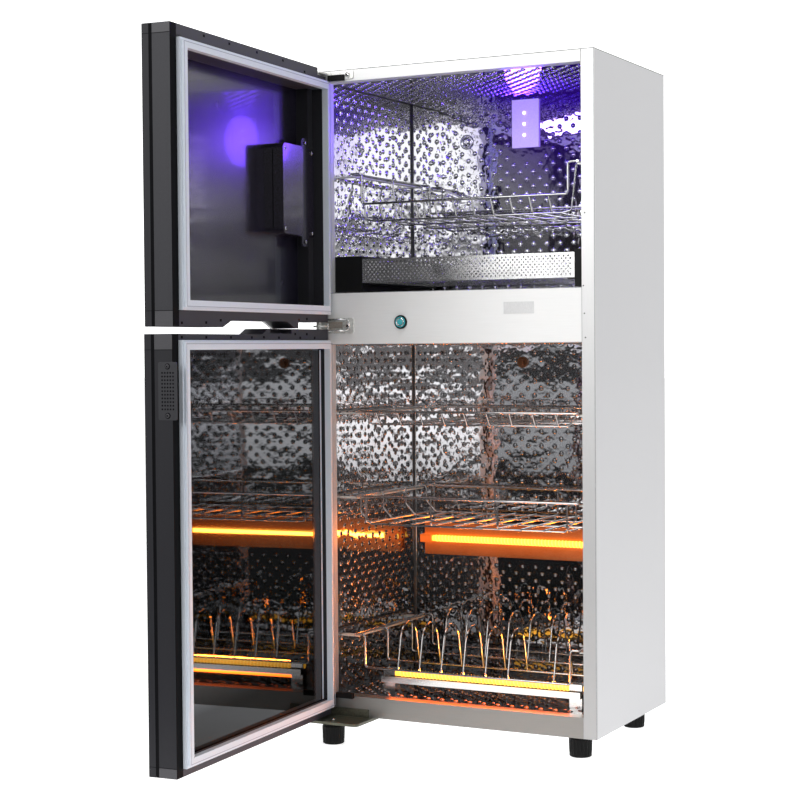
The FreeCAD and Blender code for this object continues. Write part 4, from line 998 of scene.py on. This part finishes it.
def setSky():  # white behind; in front, white screens with dark gaps between them
    world = bpy.data.worlds.new("studioWorld")
    bpy.context.scene.world = world
    world.use_nodes = True
    tree = world.node_tree
    direction = tree.nodes.new("ShaderNodeTexCoord")
    parts = tree.nodes.new("ShaderNodeSeparateXYZ")
    tree.links.new(direction.outputs["Generated"], parts.inputs[0])
    x, y, z = (parts.outputs[k] for k in ("X", "Y", "Z"))
    behind = fade(tree, y, *studio["skyBehind"], 0.0, 1.0)
    side = fade(tree, joined(tree, "ABSOLUTE", x, 0.0), *studio["screenSide"], 1.0, 0.0)
    front = joined(tree, "MULTIPLY", ramped(tree, z, studio["screens"]), side)
    level = joined(tree, "MAXIMUM", behind, joined(tree, "MULTIPLY", front, studio["skyFront"]))
    level = joined(tree, "MAXIMUM", level, studio["skyRest"])
    tree.links.new(level, tree.nodes["Background"].inputs["Strength"])
    tree.nodes["Background"].inputs["Color"].default_value = (1, 1, 1, 1)


# onlySeen leaves the mesh out of light, shadows and reflections
def stageMesh(name, corners, faces, finish, onlySeen=False):
    mesh = bpy.data.meshes.new(name)
    mesh.from_pydata(corners, [], faces)
    mesh.materials.append(finish)
    holder = placed(name, mesh)
    if onlySeen:
        for ray in ("diffuse", "glossy", "transmission", "volume_scatter", "shadow"):
            setattr(holder, "visible_" + ray, False)


def setStudio():
    bpy.context.scene.view_settings.view_transform = "Standard"
    setSky()
    reach, near = studio["floorReach"], studio["floorFront"]
    paint = makeFinish("floorPaint", studio["floorColor"], 0.6, grain=3, shift=0.004, bump=0.0,
                       glow=(1, 1, 1), glowPower=studio["floorGlow"])
    white = makeFinish("backdropWhite", (1, 1, 1), 0.9, grain=3, shift=0.0, bump=0.0, glow=(1, 1, 1),
                       glowPower=1.0)
    stageMesh("floor", [(-reach, near, 0), (reach, near, 0), (reach, reach, 0), (-reach, reach, 0)],
              [(0, 1, 2, 3)], paint)
    stageMesh("floorAhead", [(-reach, -reach, 0), (reach, -reach, 0), (reach, near, 0), (-reach, near, 0)],
              [(0, 1, 2, 3)], paint, onlySeen=True)
    stageMesh("backdrop", *block((-reach, -reach, -1), (reach, reach, reach)), white, onlySeen=True)
    for name in ("key", "side", "above"):
        spot, power, size = studio[name]
        areaLight(name + "Light", spot, power, size)
    spot = Vector((lampLights["x"], lampLights["face"] - studio["lampOff"], lampLights["heights"][1]))
    areaLight("lampGlow", spot, studio["lampPower"], studio["lampSize"], spot + Vector(studio["lampAhead"]),
              studio["lampColor"], "ELLIPSE")
    for name, ahead, power in studio["heaters"]:
        low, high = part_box(name)
        spot = (Vector(low) + Vector(high)) / 2 + Vector(ahead).normalized() * studio["heaterOff"]
        areaLight(name.replace("tube", "glow"), spot, power,
                  (high[0] - low[0] - studio["heaterEnds"], studio["heaterThick"]), spot + Vector(ahead),
                  studio["heaterColor"])
    low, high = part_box("front_heater_tube")
    spot = Vector(((low[0] + high[0]) / 2, *studio["panSpot"]))
    areaLight("panGlow", spot, studio["panPower"], (high[0] - low[0] - studio["panEnds"], studio["panThick"]),
              spot + Vector(studio["panAhead"]), studio["panColor"])


setStudio()

# angles in radians; the focal length is in pixels of a frame that is 800 wide
cameraPlace = {"spot": (1.16316, -2.56389, 0.60623), "yaw": 0.47823, "pitch": -0.02888, "roll": -0.00774,
               "focal": 1782.75, "pixels": 800, "sensor": 36, "farthest": 100}


def setCamera():
    yaw, pitch, roll = (cameraPlace[k] for k in ("yaw", "pitch", "roll"))
    ahead = Vector((-math.sin(yaw) * math.cos(pitch), math.cos(yaw) * math.cos(pitch), math.sin(pitch)))
    right = Vector((math.cos(yaw), math.sin(yaw), 0))
    up = right.cross(ahead)
    tiltedRight = right * math.cos(roll) + up * math.sin(roll)
    tiltedUp = up * math.cos(roll) - right * math.sin(roll)
    camera = bpy.data.cameras.new("camera")
    camera.sensor_width = cameraPlace["sensor"]
    camera.lens = cameraPlace["focal"] * cameraPlace["sensor"] / cameraPlace["pixels"]
    camera.clip_end = cameraPlace["farthest"]
    holder = placed("camera", camera)
    holder.rotation_mode = "QUATERNION"
    holder.location = cameraPlace["spot"]
    turn = Matrix((tiltedRight, tiltedUp, -ahead)).transposed()
    holder.rotation_quaternion = turn.to_quaternion()
    bpy.context.scene.camera = holder


setCamera()
print("studio: lights and camera set")
